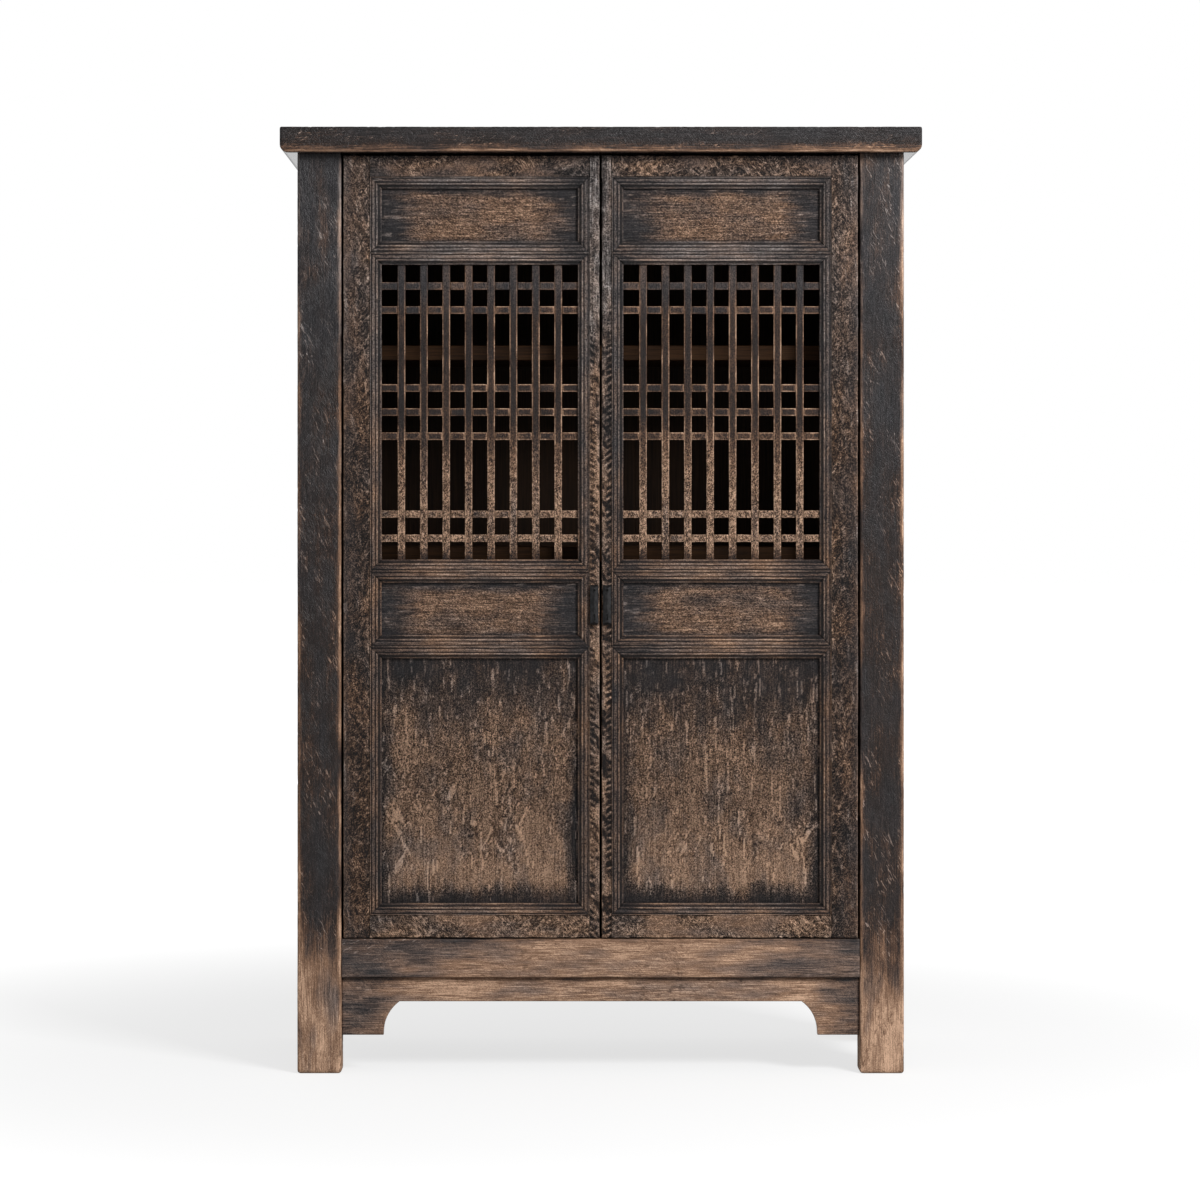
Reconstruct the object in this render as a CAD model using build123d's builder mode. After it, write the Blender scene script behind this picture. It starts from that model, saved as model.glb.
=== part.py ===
from build123d import *
import os
from math import hypot, sqrt

# A two-door book cabinet of east asian joinery: four posts carry a plank top, the sides and back are
# boards floating in mortised frames, and each frame-and-panel door turns on wooden pins that grow out
# of its hinge stile. Front is -Y, up is +Z, and the origin lies on the floor under the middle of the
# top board. Millimetres throughout.

# ---------------------------------------------------------------- carcass sizes
cabinet_height = 1830.0
body_width = 1175.0
body_depth = 470.0
top_thickness = 50.0
top_side_overhang = 31.5
top_front_overhang = 32.0
top_rear_overhang = 8.0
top_lower_round = 16.0
top_arris = 3.0
post_width = 86.0
post_depth = 64.0
rear_post_width = 48.0
post_arris = 4.0
foot_bevel = 4.0
post_tenon_width = 36.0
rear_post_tenon_width = 24.0
post_tenon_depth = 24.0
post_tenon_height = 25.0

# ---------------------------------------------------------------- rails, aprons, panels and boards
floor_clearance = 186.0
bottom_rail_height = 75.0
front_rail_depth = 46.0
head_rail_height = 50.0
head_rail_depth = 29.0
side_rail_thickness = 40.0
side_rail_setback = 4.0
side_top_rail_height = 70.0
back_rail_thickness = 30.0
back_top_rail_height = 70.0
rail_tenon_length = 30.0
rail_tenon_thickness = 12.0
rail_tenon_shoulder = 10.0
rail_arris = 2.0
side_panel_thickness = 14.0
side_panel_setback = 10.0
back_board_thickness = 12.0
back_board_setback = 9.0
back_board_count = 7
board_seam = 1.0
board_lap = 5.0
carcass_groove_depth = 8.0

apron_thickness = 22.0
apron_setback = 10.0
apron_height = 47.5
apron_housing = 10.0
apron_tongue_thickness = 8.0
apron_tongue_height = 8.0
spandrel_drop = 65.0
spandrel_foot = 81.0
spandrel_radius = 75.5
spandrel_nose = 4.0

# ---------------------------------------------------------------- shelves
shelf_thickness = 29.0
shelf_centres = {"lower": 607.0, "middle": 1003.0, "upper": 1399.0}
shelf_front_setback = 100.0
shelf_arris = 2.0
bottom_board_thickness = 18.0
bearer_width = 24.0
bearer_height = 24.0

# ---------------------------------------------------------------- doors
door_thickness = 30.0
door_side_gap = 3.0
door_meeting_gap = 3.8
door_top_gap = 3.0
door_bottom_gap = 2.0
door_stop_gap = 0.6
door_arris = 3.0
hinge_stile_face = 51.8
meeting_stile_face = 19.7
top_rail_face = 41.0
bottom_rail_face = 44.0
door_rail_height = 45.0
top_panel_height = 102.5
lattice_height = 571.0
waist_panel_height = 101.5
door_tenon_length = 28.0
door_tenon_shoulder = 8.0
door_panel_thickness = 8.0
door_panel_setback = 12.0
door_groove_depth = 8.0

moulding_width = 22.5
moulding_depth = 10.0
moulding_fillet = 1.8
moulding_quirk = 1.0
moulding_quirk_depth = 1.6
moulding_bead_width = 8.4
moulding_bead_crown = 0.2
moulding_reed_width = 5.0
moulding_reed_crown = 0.4
moulding_reed_foot = 2.4
moulding_inner_edge = 6.0

pin_radius = 6.5
pin_length = 14.0
pivot_inset = 20.0
pivot_depth = 12.0

# ---------------------------------------------------------------- lattice
lattice_bar = 15.5
lattice_depth = 12.0
lattice_setback = 10.0
upright_count = 8
upright_pitch = 43.4
crossbar_pitch = 46.7
end_crossbar_inset = 41.0
lattice_housing = 6.0

# ---------------------------------------------------------------- pulls
pull_length = 77.0
pull_rise = 8.0
pull_width = 16.0
pull_neck_width = 11.0
pull_neck_height = 3.0
pull_edge_height = 6.0
pull_ridge_height = 11.0
pull_end_slope = 6.0
pull_inset = 10.6
pull_hole = 4.4
pull_slot_length = 12.0
pull_recess = 6.0
pull_hole_from_end = 10.0
pull_slot_from_end = 15.0
pull_shank = 5.0
pull_shank_length = 18.0
pull_shank_from_end = 24.0

# ---------------------------------------------------------------- clearances
joint_clearance = 0.1
panel_clearance = 0.2
panel_shrinkage = 1.0
shelf_clearance = 1.0
pin_clearance = 0.05
pin_end_clearance = 0.3
swing_clearance = 1.5
mitre_gap = 0.15
lap_clearance = 0.1


# ---------------------------------------------------------------- small helpers
def span(limits):
    """The length between a pair of limits."""
    return limits[1] - limits[0]


def middle(limits):
    """The point half way between a pair of limits."""
    return (limits[0] + limits[1]) / 2


def grown(limits, amount):
    """A pair of limits moved apart by the same amount at each end."""
    return (limits[0] - amount, limits[1] + amount)


def about(centre, width):
    """The pair of limits that lie evenly about a centre."""
    return (centre - width / 2, centre + width / 2)


def opposite(x):
    """The limits that mirror a left-hand pair onto the right-hand side."""
    return (-x[1], -x[0])


def bar(x, y, z, mode=Mode.ADD):
    """Add or cut the square-cornered bar that fills three pairs of limits."""
    with Locations((middle(x), middle(y), middle(z))):
        Box(span(x), span(y), span(z), mode=mode)


def mortise(tenon, clearance=joint_clearance):
    """Cut the hole that a tenon or a panel's edge sits in."""
    x, y, z = tenon
    bar(grown(x, clearance), grown(y, clearance), grown(z, clearance), mode=Mode.SUBTRACT)


def export(piece, name):
    """Name a finished piece and write it."""
    piece.part.label = name
    export_step(piece.part, f"parts/{name}.step")


def export_pair(piece, name):
    """Write a left-hand piece, and its mirror image as the right-hand one."""
    export(piece, f"left_{name}")
    with BuildPart() as twin:
        mirror(piece.part, about=Plane.YZ)
    export(twin, f"right_{name}")


# ---------------------------------------------------------------- where the carcass stands
top_depth = body_depth + top_front_overhang + top_rear_overhang
top_y = about(0, top_depth)
front = top_y[0] + top_front_overhang
back = front + body_depth
side = body_width / 2
post_inner = side - post_width
post_top = cabinet_height - top_thickness
top_z = (post_top, cabinet_height)

opening_x = (-post_inner, post_inner)
front_post_y = (front, front + post_depth)
rear_post_y = (back - post_depth, back)
between_posts_y = (front_post_y[1], rear_post_y[0])
left_post_x = (-side, -post_inner)
rear_left_post_x = (-side, -side + rear_post_width)
rear_opening_x = (rear_left_post_x[1], -rear_left_post_x[1])

bottom_rail_z = (floor_clearance, floor_clearance + bottom_rail_height)
side_rail_x = (-side + side_rail_setback, -side + side_rail_setback + side_rail_thickness)
side_top_rail_z = (post_top - side_top_rail_height, post_top)
back_rail_y = (back - back_rail_thickness, back)
back_top_rail_z = (post_top - back_top_rail_height, post_top)

side_panel_outer = side_rail_x[0] + side_panel_setback
side_panel = (
    (side_panel_outer, side_panel_outer + side_panel_thickness),
    grown(between_posts_y, carcass_groove_depth - panel_shrinkage),
    (bottom_rail_z[1] - carcass_groove_depth, side_top_rail_z[0] + carcass_groove_depth - panel_shrinkage),
)
side_panel_seat = (
    grown(side_panel[0], panel_clearance),
    grown(between_posts_y, carcass_groove_depth),
    (side_panel[2][0], side_top_rail_z[0] + carcass_groove_depth),
)
back_boards_x = grown(rear_opening_x, carcass_groove_depth - panel_shrinkage)
back_boards_y = (back - back_board_setback - back_board_thickness, back - back_board_setback)
back_boards_z = (
    bottom_rail_z[1] - carcass_groove_depth,
    back_top_rail_z[0] + carcass_groove_depth - panel_shrinkage,
)
back_boards_seat = (
    grown(rear_opening_x, carcass_groove_depth),
    grown(back_boards_y, panel_clearance),
    (back_boards_z[0], back_top_rail_z[0] + carcass_groove_depth),
)

# ---------------------------------------------------------------- where the left door hangs
door_x = (-post_inner + door_side_gap, -door_meeting_gap / 2)
door_y = (front, front + door_thickness)
door_z = (bottom_rail_z[1] + door_bottom_gap, post_top - door_top_gap)
rebate_x = (door_x[0] + hinge_stile_face, door_x[1] - meeting_stile_face)
rebate_z = (door_z[0] + bottom_rail_face, door_z[1] - top_rail_face)
rebate_y = (front, front + moulding_depth)
rebate = (rebate_x, rebate_y, rebate_z)
panel_x = grown(rebate_x, -moulding_width)

top_panel_z = (rebate_z[1] - moulding_width - top_panel_height, rebate_z[1] - moulding_width)
lattice_z = (top_panel_z[0] - door_rail_height - lattice_height, top_panel_z[0] - door_rail_height)
waist_panel_z = (lattice_z[0] - door_rail_height - waist_panel_height, lattice_z[0] - door_rail_height)
lower_panel_z = (rebate_z[0] + moulding_width, waist_panel_z[0] - door_rail_height)
panel_openings = {"top_panel": top_panel_z, "waist_panel": waist_panel_z, "lower_panel": lower_panel_z}

door_rails = {
    "top_rail": (top_panel_z[1], door_z[1]),
    "lattice_head_rail": (lattice_z[1], top_panel_z[0]),
    "lattice_sill_rail": (waist_panel_z[1], lattice_z[0]),
    "waist_rail": (lower_panel_z[1], waist_panel_z[0]),
    "bottom_rail": (door_z[0], lower_panel_z[0]),
}
door_panel_y = (front + door_panel_setback, front + door_panel_setback + door_panel_thickness)

pivot_x = door_x[0] + pivot_inset
pivot_y = front + pivot_depth
heel_reach = hypot(pivot_inset, door_thickness - pivot_depth)

lattice_y = (front + lattice_setback, front + lattice_setback + lattice_depth)
upright_centres = [
    middle(panel_x) + (i - (upright_count - 1) / 2) * upright_pitch for i in range(upright_count)
]
crossbar_centres = [
    lattice_z[0] + end_crossbar_inset,
    lattice_z[0] + end_crossbar_inset + crossbar_pitch,
    middle(lattice_z) - crossbar_pitch,
    middle(lattice_z),
    middle(lattice_z) + crossbar_pitch,
    lattice_z[1] - end_crossbar_inset - crossbar_pitch,
    lattice_z[1] - end_crossbar_inset,
]

pull_x = door_x[1] - pull_inset
pull_z = about(middle(waist_panel_z) + pull_rise, pull_length)


# ---------------------------------------------------------------- joints shared by rails, panels and posts
def post_tenon(x, y, width):
    """The tenon that stands up from a post into the top board."""
    tenon_z = (post_top, post_top + post_tenon_height)
    return (about(middle(x), width), about(middle(y), post_tenon_depth), tenon_z)


def tenon_along_x(x, y, z):
    """The tenon that runs through a left-to-right carcass rail and stands out at both ends."""
    thickness = about(middle(y), rail_tenon_thickness)
    return (grown(x, rail_tenon_length), thickness, grown(z, -rail_tenon_shoulder))


def tenon_along_y(x, y, z):
    """The tenon that runs through a front-to-back carcass rail and stands out at both ends."""
    thickness = about(middle(x), rail_tenon_thickness)
    return (thickness, grown(y, rail_tenon_length), grown(z, -rail_tenon_shoulder))


def door_tenon(z):
    """The tenon that runs through a door rail and stands out into both stiles."""
    return (grown(panel_x, door_tenon_length), door_panel_y, grown(z, -door_tenon_shoulder))


def door_panel(z):
    """A panel that floats in the grooves of a door frame around one opening."""
    reach = door_groove_depth - panel_shrinkage
    return (grown(panel_x, reach), door_panel_y, (z[0] - door_groove_depth, z[1] + reach))


def door_panel_seat(z):
    """The groove around one opening that such a panel floats in."""
    groove = grown(door_panel_y, panel_clearance)
    return (grown(panel_x, door_groove_depth), groove, grown(z, door_groove_depth))


front_post_tenon = post_tenon(left_post_x, front_post_y, post_tenon_width)
rear_post_tenon = post_tenon(rear_left_post_x, rear_post_y, rear_post_tenon_width)

front_rail = (opening_x, (front, front + front_rail_depth), bottom_rail_z)
head_rail_front = door_y[1] + door_stop_gap
head_rail_y = (head_rail_front, head_rail_front + head_rail_depth)
head_rail = (opening_x, head_rail_y, (post_top - head_rail_height, post_top))
back_top_rail = (rear_opening_x, back_rail_y, back_top_rail_z)
back_bottom_rail = (rear_opening_x, back_rail_y, bottom_rail_z)
side_top_rail = (side_rail_x, between_posts_y, side_top_rail_z)
side_bottom_rail = (side_rail_x, between_posts_y, bottom_rail_z)

relief_length = door_side_gap + pivot_inset + heel_reach + swing_clearance
relief_back = pivot_y + heel_reach + swing_clearance
head_rail_tenon = tenon_along_x(opening_x, (relief_back, head_rail[1][1]), head_rail[2])

front_tenons = [tenon_along_x(*front_rail), head_rail_tenon]
back_tenons = [tenon_along_x(*back_top_rail), tenon_along_x(*back_bottom_rail)]
side_tenons = [tenon_along_y(*side_top_rail), tenon_along_y(*side_bottom_rail)]

apron_z = (floor_clearance - apron_height - spandrel_drop, floor_clearance)
front_apron_y = (front + apron_setback, front + apron_setback + apron_thickness)
front_apron_housing = (grown(opening_x, apron_housing), front_apron_y, apron_z)
side_apron_x = (side_rail_x[0] + apron_setback, side_rail_x[0] + apron_setback + apron_thickness)
side_apron_housing = (side_apron_x, grown(between_posts_y, apron_housing), apron_z)


# ---------------------------------------------------------------- top board
with BuildPart() as top_board:
    bar(about(0, body_width + 2 * top_side_overhang), top_y, top_z)
    lower_edges = top_board.faces().sort_by(Axis.Z)[0].edges()
    fillet(lower_edges.sort_by(Axis.Y)[:-1], radius=top_lower_round)
    chamfer(top_board.faces().sort_by(Axis.Z)[-1].edges(), length=top_arris)
    for tenon in (front_post_tenon, rear_post_tenon):
        mortise(tenon)
        mortise((opposite(tenon[0]), tenon[1], tenon[2]))
    with BuildSketch(Plane.XY.offset(post_top)):
        with Locations((pivot_x, pivot_y), (-pivot_x, pivot_y)):
            Circle(pin_radius + pin_clearance)
    extrude(amount=pin_length - door_top_gap + pin_end_clearance, mode=Mode.SUBTRACT)
export(top_board, "top_board")


# ---------------------------------------------------------------- posts
def make_post(x, y, top_tenon, tenons):
    """A left-hand post: eased arrises, a bevelled foot, a tenon for the top and mortises for its rails."""
    with BuildPart() as post:
        bar(x, y, (0, post_top))
        chamfer(post.faces().sort_by(Axis.Z)[0].edges(), length=foot_bevel)
        fillet(post.edges().filter_by(Axis.Z), radius=post_arris)
        bar(*top_tenon)
        for tenon in tenons:
            mortise(tenon)
        mortise(side_panel_seat, clearance=0)
    return post


front_post_joints = front_tenons + side_tenons + [front_apron_housing, side_apron_housing]
front_post = make_post(left_post_x, front_post_y, front_post_tenon, front_post_joints)
export_pair(front_post, "front_post")

rear_post_joints = back_tenons + side_tenons + [side_apron_housing]
rear_post = make_post(rear_left_post_x, rear_post_y, rear_post_tenon, rear_post_joints)
with BuildPart() as grooved_rear_post:
    add(rear_post.part)
    mortise(back_boards_seat, clearance=0)
export_pair(grooved_rear_post, "rear_post")


# ---------------------------------------------------------------- front rails
with BuildPart() as front_head_rail:
    bar(*head_rail)
    # Both ends are cut back so that the heel of each door swings past.
    for edge, inward in ((opening_x[0], 1), (opening_x[1], -1)):
        relief_x = sorted((edge, edge + inward * relief_length))
        bar(relief_x, (head_rail_front, relief_back), head_rail[2], mode=Mode.SUBTRACT)
    bar(*head_rail_tenon)
export(front_head_rail, "front_head_rail")

with BuildPart() as front_bottom_rail:
    bar(*front_rail)
    fillet(front_bottom_rail.faces().sort_by(Axis.Y)[0].edges().filter_by(Axis.X), radius=rail_arris)
    bar(*tenon_along_x(*front_rail))
    apron_groove_z = (floor_clearance, floor_clearance + apron_tongue_height)
    mortise((opening_x, about(middle(front_apron_y), apron_tongue_thickness), apron_groove_z))
    with BuildSketch(Plane.XY.offset(bottom_rail_z[1])):
        with Locations((pivot_x, pivot_y), (-pivot_x, pivot_y)):
            Circle(pin_radius + pin_clearance)
    extrude(amount=-(pin_length - door_bottom_gap + pin_end_clearance), mode=Mode.SUBTRACT)
export(front_bottom_rail, "front_bottom_rail")


# ---------------------------------------------------------------- aprons
def apron_face(plane, length):
    """An apron's face, drawn under the rail: a plain strip with a hollow-curved spandrel at each end."""
    foot = -apron_height - spandrel_drop
    nose = foot + spandrel_nose
    rise = spandrel_drop - spandrel_nose
    curve_run = spandrel_radius - sqrt(spandrel_radius**2 - rise**2)
    end = length / 2 + apron_housing
    foot_end = length / 2 - spandrel_foot
    curve_end = foot_end - curve_run
    with BuildSketch(plane) as face:
        with BuildLine():
            RadiusArc((foot_end, nose), (curve_end, -apron_height), -spandrel_radius)
            Line((curve_end, -apron_height), (-curve_end, -apron_height))
            RadiusArc((-curve_end, -apron_height), (-foot_end, nose), -spandrel_radius)
            Polyline(
                (-foot_end, nose),
                (-foot_end, foot),
                (-end, foot),
                (-end, 0),
                (end, 0),
                (end, foot),
                (foot_end, foot),
                (foot_end, nose),
            )
        make_face()
    return face.sketch


front_apron_face = apron_face(
    Plane(origin=(0, front_apron_y[1], floor_clearance), x_dir=(1, 0, 0), z_dir=(0, -1, 0)),
    span(opening_x),
)
with BuildPart() as front_apron:
    extrude(front_apron_face, amount=apron_thickness)
    bar(opening_x, about(middle(front_apron_y), apron_tongue_thickness), apron_groove_z)
export(front_apron, "front_apron")

side_apron_face = apron_face(
    Plane(
        origin=(side_apron_x[0], middle(between_posts_y), floor_clearance),
        x_dir=(0, 1, 0),
        z_dir=(1, 0, 0),
    ),
    span(between_posts_y),
)
with BuildPart() as side_apron:
    extrude(side_apron_face, amount=apron_thickness)
    bar(about(middle(side_apron_x), apron_tongue_thickness), between_posts_y, apron_groove_z)
export_pair(side_apron, "side_apron")


# ---------------------------------------------------------------- side and back frames
with BuildPart() as side_top:
    bar(*side_top_rail)
    fillet(side_top.faces().sort_by(Axis.X)[0].edges().sort_by(Axis.Z)[0], radius=rail_arris)
    bar(*tenon_along_y(*side_top_rail))
    mortise(side_panel_seat, clearance=0)
export_pair(side_top, "side_top_rail")

with BuildPart() as side_bottom:
    bar(*side_bottom_rail)
    fillet(side_bottom.faces().sort_by(Axis.X)[0].edges().filter_by(Axis.Y), radius=rail_arris)
    bar(*tenon_along_y(*side_bottom_rail))
    mortise(side_panel_seat, clearance=0)
    mortise((about(middle(side_apron_x), apron_tongue_thickness), between_posts_y, apron_groove_z))
export_pair(side_bottom, "side_bottom_rail")

with BuildPart() as side_board:
    bar(*side_panel)
export_pair(side_board, "side_panel")

for rail_name, rail in (("back_top_rail", back_top_rail), ("back_bottom_rail", back_bottom_rail)):
    with BuildPart() as back_rail:
        bar(*rail)
        bar(*tenon_along_x(*rail))
        mortise(back_boards_seat, clearance=0)
    export(back_rail, rail_name)

with BuildPart() as back_boards:
    board_pitch = span(back_boards_x) / back_board_count
    for i in range(back_board_count):
        board_middle = back_boards_x[0] + (i + 1 / 2) * board_pitch
        bar(about(board_middle, board_pitch - board_seam), back_boards_y, back_boards_z)
    # At each seam the left board's rear lip lies in a rebate of the right one.
    lap_y = (middle(back_boards_y), back_boards_y[1])
    lip_y = (lap_y[0] + panel_clearance, lap_y[1])
    for i in range(1, back_board_count):
        seam_x = about(back_boards_x[0] + i * board_pitch, board_seam)
        bar((seam_x[1], seam_x[1] + board_lap), lap_y, back_boards_z, mode=Mode.SUBTRACT)
        bar((seam_x[0], seam_x[0] + board_lap), lip_y, back_boards_z)
export(back_boards, "back_boards")

# ---------------------------------------------------------------- floor of the cabinet, shelves and bearers
shelf_x = grown((side_panel[0][1], -side_panel[0][1]), -shelf_clearance)
shelf_y = (front + shelf_front_setback, back_boards_y[0] - shelf_clearance)
rear_post_notch_y = (rear_post_y[0] - shelf_clearance, back)
floor_x = (side_rail_x[1], -side_rail_x[1])
floor_y = (front_rail[1][1], back_rail_y[0])
floor_z = (bottom_rail_z[1] - bottom_board_thickness, bottom_rail_z[1])


def notch_for_posts(post_x, y, z):
    """Cut both corners of a board back around a pair of posts."""
    for x in (post_x, opposite(post_x)):
        bar(grown(x, shelf_clearance), y, z, mode=Mode.SUBTRACT)


with BuildPart() as bottom_board:
    bar(floor_x, floor_y, floor_z)
    notch_for_posts(left_post_x, (front, front_post_y[1] + shelf_clearance), floor_z)
    notch_for_posts(rear_left_post_x, rear_post_notch_y, floor_z)
export(bottom_board, "bottom_board")

bearer_x = (side_panel[0][1], side_panel[0][1] + bearer_width)
bearer_boxes = [
    (opening_x, (floor_y[0], floor_y[0] + bearer_width), (floor_z[0] - bearer_height, floor_z[0])),
    (rear_opening_x, (floor_y[1] - bearer_width, floor_y[1]), (floor_z[0] - bearer_height, floor_z[0])),
]
for shelf_name, shelf_centre in shelf_centres.items():
    shelf_z = about(shelf_centre, shelf_thickness)
    with BuildPart() as shelf:
        bar(shelf_x, shelf_y, shelf_z)
        fillet(shelf.faces().sort_by(Axis.Y)[0].edges().filter_by(Axis.X), radius=shelf_arris)
        notch_for_posts(rear_left_post_x, rear_post_notch_y, shelf_z)
    export(shelf, f"{shelf_name}_shelf")
    bearer_z = (shelf_z[0] - bearer_height, shelf_z[0])
    bearer_boxes.append((bearer_x, between_posts_y, bearer_z))
    bearer_boxes.append((opposite(bearer_x), between_posts_y, bearer_z))

with BuildPart() as shelf_bearers:
    for bearer in bearer_boxes:
        bar(*bearer)
export(shelf_bearers, "shelf_bearers")


# ---------------------------------------------------------------- door frame
def cut_lattice_housings():
    """Cut the small housings around the lattice opening that take the ends of its bars."""
    for centre in upright_centres:
        mortise((about(centre, lattice_bar), lattice_y, grown(lattice_z, lattice_housing)))
    for centre in crossbar_centres:
        mortise((grown(panel_x, lattice_housing), lattice_y, about(centre, lattice_bar)))


def cut_stile_joints():
    """Cut a stile's full-length rebate, its mortises for the rails and its grooves for the panels."""
    bar(rebate_x, rebate_y, door_z, mode=Mode.SUBTRACT)
    for rail_z in door_rails.values():
        mortise(door_tenon(rail_z))
    for opening_z in panel_openings.values():
        mortise(door_panel_seat(opening_z), clearance=0)
    cut_lattice_housings()


with BuildPart() as hinge_stile:
    bar((door_x[0], panel_x[0]), door_y, door_z)
    outer_arrises = hinge_stile.edges().filter_by(Axis.Z).group_by(Axis.X)[0]
    fillet(outer_arrises, radius=door_arris)
    cut_stile_joints()
    # The stile's own wood is turned down to a pin at each end.
    for end_z, outward in ((door_z[1], 1), (door_z[0], -1)):
        with BuildSketch(Plane.XY.offset(end_z)):
            with Locations((pivot_x, pivot_y)):
                Circle(pin_radius)
        extrude(amount=outward * pin_length)
export_pair(hinge_stile, "door_hinge_stile")

with BuildPart() as meeting_stile:
    bar((panel_x[1], door_x[1]), door_y, door_z)
    fillet(meeting_stile.edges().filter_by(Axis.Z).group_by(Axis.X)[-1], radius=door_arris)
    cut_stile_joints()
    shank_z = (pull_z[0] + pull_shank_from_end, pull_z[1] - pull_shank_from_end)
    with BuildSketch(Plane.XZ.offset(-front)):
        with Locations(*[(pull_x, z) for z in shank_z]):
            Rectangle(pull_shank + 2 * joint_clearance, pull_shank + 2 * joint_clearance)
    extrude(amount=-pull_shank_length - joint_clearance, mode=Mode.SUBTRACT)
export_pair(meeting_stile, "door_meeting_stile")

for rail_name, rail_z in door_rails.items():
    with BuildPart() as door_rail:
        bar(panel_x, door_y, rail_z)
        bar(rebate_x, rebate_y, rail_z)
        bar(*rebate, mode=Mode.SUBTRACT)
        bar(*door_tenon(rail_z))
        for opening_z in panel_openings.values():
            mortise(door_panel_seat(opening_z), clearance=0)
        if lattice_z[0] in rail_z or lattice_z[1] in rail_z:
            cut_lattice_housings()
    export_pair(door_rail, f"door_{rail_name}")

for panel_name, opening_z in panel_openings.items():
    with BuildPart() as panel:
        bar(*door_panel(opening_z))
    export_pair(panel, f"door_{panel_name}")


# ---------------------------------------------------------------- mitred mouldings
def moulding_strip(corner, run, inward, length):
    """One mitred strip: a fine fillet, a quirk, a broad bead, a reed, and a slope down to the panel."""
    bead_start = moulding_fillet + moulding_quirk
    bead_end = bead_start + moulding_bead_width
    reed_end = bead_end + moulding_reed_width
    with BuildPart() as strip:
        with BuildSketch(Plane(origin=corner, x_dir=inward, z_dir=run)):
            with BuildLine():
                Polyline(
                    (reed_end, moulding_reed_foot),
                    (moulding_width, moulding_inner_edge),
                    (moulding_width, moulding_depth),
                    (0, moulding_depth),
                    (0, 0),
                    (moulding_fillet, 0),
                    (bead_start, moulding_quirk_depth),
                )
                ThreePointArc(
                    (bead_start, moulding_quirk_depth),
                    ((bead_start + bead_end) / 2, moulding_bead_crown),
                    (bead_end, moulding_quirk_depth),
                )
                ThreePointArc(
                    (bead_end, moulding_quirk_depth),
                    ((bead_end + reed_end) / 2, moulding_reed_crown),
                    (reed_end, moulding_reed_foot),
                )
            make_face()
        extrude(amount=length)
        facing = Vector(run).cross(Vector(inward))
        with BuildSketch(Plane(origin=corner, x_dir=run, z_dir=facing)):
            with BuildLine():
                Polyline(
                    (mitre_gap, 0),
                    (length - mitre_gap, 0),
                    (length - mitre_gap - moulding_width, moulding_width),
                    (mitre_gap + moulding_width, moulding_width),
                    close=True,
                )
            make_face()
        extrude(amount=moulding_depth, mode=Mode.INTERSECT)
    return strip.part


moulded_openings = dict(panel_openings, lattice=lattice_z)
for opening_name, opening_z in moulded_openings.items():
    frame_z = grown(opening_z, moulding_width)
    across = span(rebate_x)
    upward = span(frame_z)
    strips = [
        moulding_strip((rebate_x[1], front, frame_z[0]), (-1, 0, 0), (0, 0, 1), across),
        moulding_strip((rebate_x[0], front, frame_z[1]), (1, 0, 0), (0, 0, -1), across),
        moulding_strip((rebate_x[0], front, frame_z[0]), (0, 0, 1), (1, 0, 0), upward),
        moulding_strip((rebate_x[1], front, frame_z[1]), (0, 0, -1), (-1, 0, 0), upward),
    ]
    with BuildPart() as moulding:
        add(strips)
    export_pair(moulding, f"door_{opening_name}_moulding")


# ---------------------------------------------------------------- half-lapped lattice
with BuildPart() as lattice_uprights:
    for centre in upright_centres:
        bar(about(centre, lattice_bar), lattice_y, grown(lattice_z, lattice_housing))
    # The back half of each upright is notched where a crossbar passes.
    for height in crossbar_centres:
        lap_z = about(height, lattice_bar + 2 * lap_clearance)
        bar(panel_x, (middle(lattice_y), lattice_y[1]), lap_z, mode=Mode.SUBTRACT)
export_pair(lattice_uprights, "door_lattice_uprights")

with BuildPart() as lattice_crossbars:
    for height in crossbar_centres:
        bar(grown(panel_x, lattice_housing), lattice_y, about(height, lattice_bar))
    # The front half of each crossbar is notched where an upright passes.
    for centre in upright_centres:
        lap_x = about(centre, lattice_bar + 2 * lap_clearance)
        bar(lap_x, (lattice_y[0], middle(lattice_y)), lattice_z, mode=Mode.SUBTRACT)
export_pair(lattice_crossbars, "door_lattice_crossbars")


# ---------------------------------------------------------------- iron pulls
with BuildPart() as pull:
    with BuildSketch(Plane(origin=(pull_x, front, pull_z[0]), x_dir=(1, 0, 0), z_dir=(0, 0, 1))):
        with BuildLine():
            Polyline(
                (-pull_neck_width / 2, 0),
                (-pull_neck_width / 2, -pull_neck_height),
                (-pull_width / 2, -pull_neck_height),
                (-pull_width / 2, -pull_edge_height),
                (0, -pull_ridge_height),
                (pull_width / 2, -pull_edge_height),
                (pull_width / 2, -pull_neck_height),
                (pull_neck_width / 2, -pull_neck_height),
                (pull_neck_width / 2, 0),
                close=True,
            )
        make_face()
    extrude(amount=pull_length)
    # Both ends of the ridge are forged down to a slope.
    with BuildSketch(Plane.YZ.offset(pull_x)):
        ridge_y = front - pull_ridge_height
        edge_y = front - pull_neck_height
        for end, inward in ((pull_z[0], 1), (pull_z[1], -1)):
            with BuildLine():
                Polyline((ridge_y, end), (edge_y, end), (ridge_y, end + inward * pull_end_slope), close=True)
            make_face()
    extrude(amount=pull_width, both=True, mode=Mode.SUBTRACT)
    with BuildSketch(Plane.XZ.offset(-ridge_y)):
        with Locations((pull_x, pull_z[1] - pull_hole_from_end)):
            Rectangle(pull_hole, pull_hole)
        with Locations((pull_x, pull_z[0] + pull_slot_from_end)):
            Rectangle(pull_hole, pull_slot_length)
    extrude(amount=-pull_recess, mode=Mode.SUBTRACT)
    with BuildSketch(Plane.XZ.offset(-front)):
        with Locations(*[(pull_x, z) for z in shank_z]):
            Rectangle(pull_shank, pull_shank)
    extrude(amount=-pull_shank_length)
export_pair(pull, "door_pull")
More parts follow.
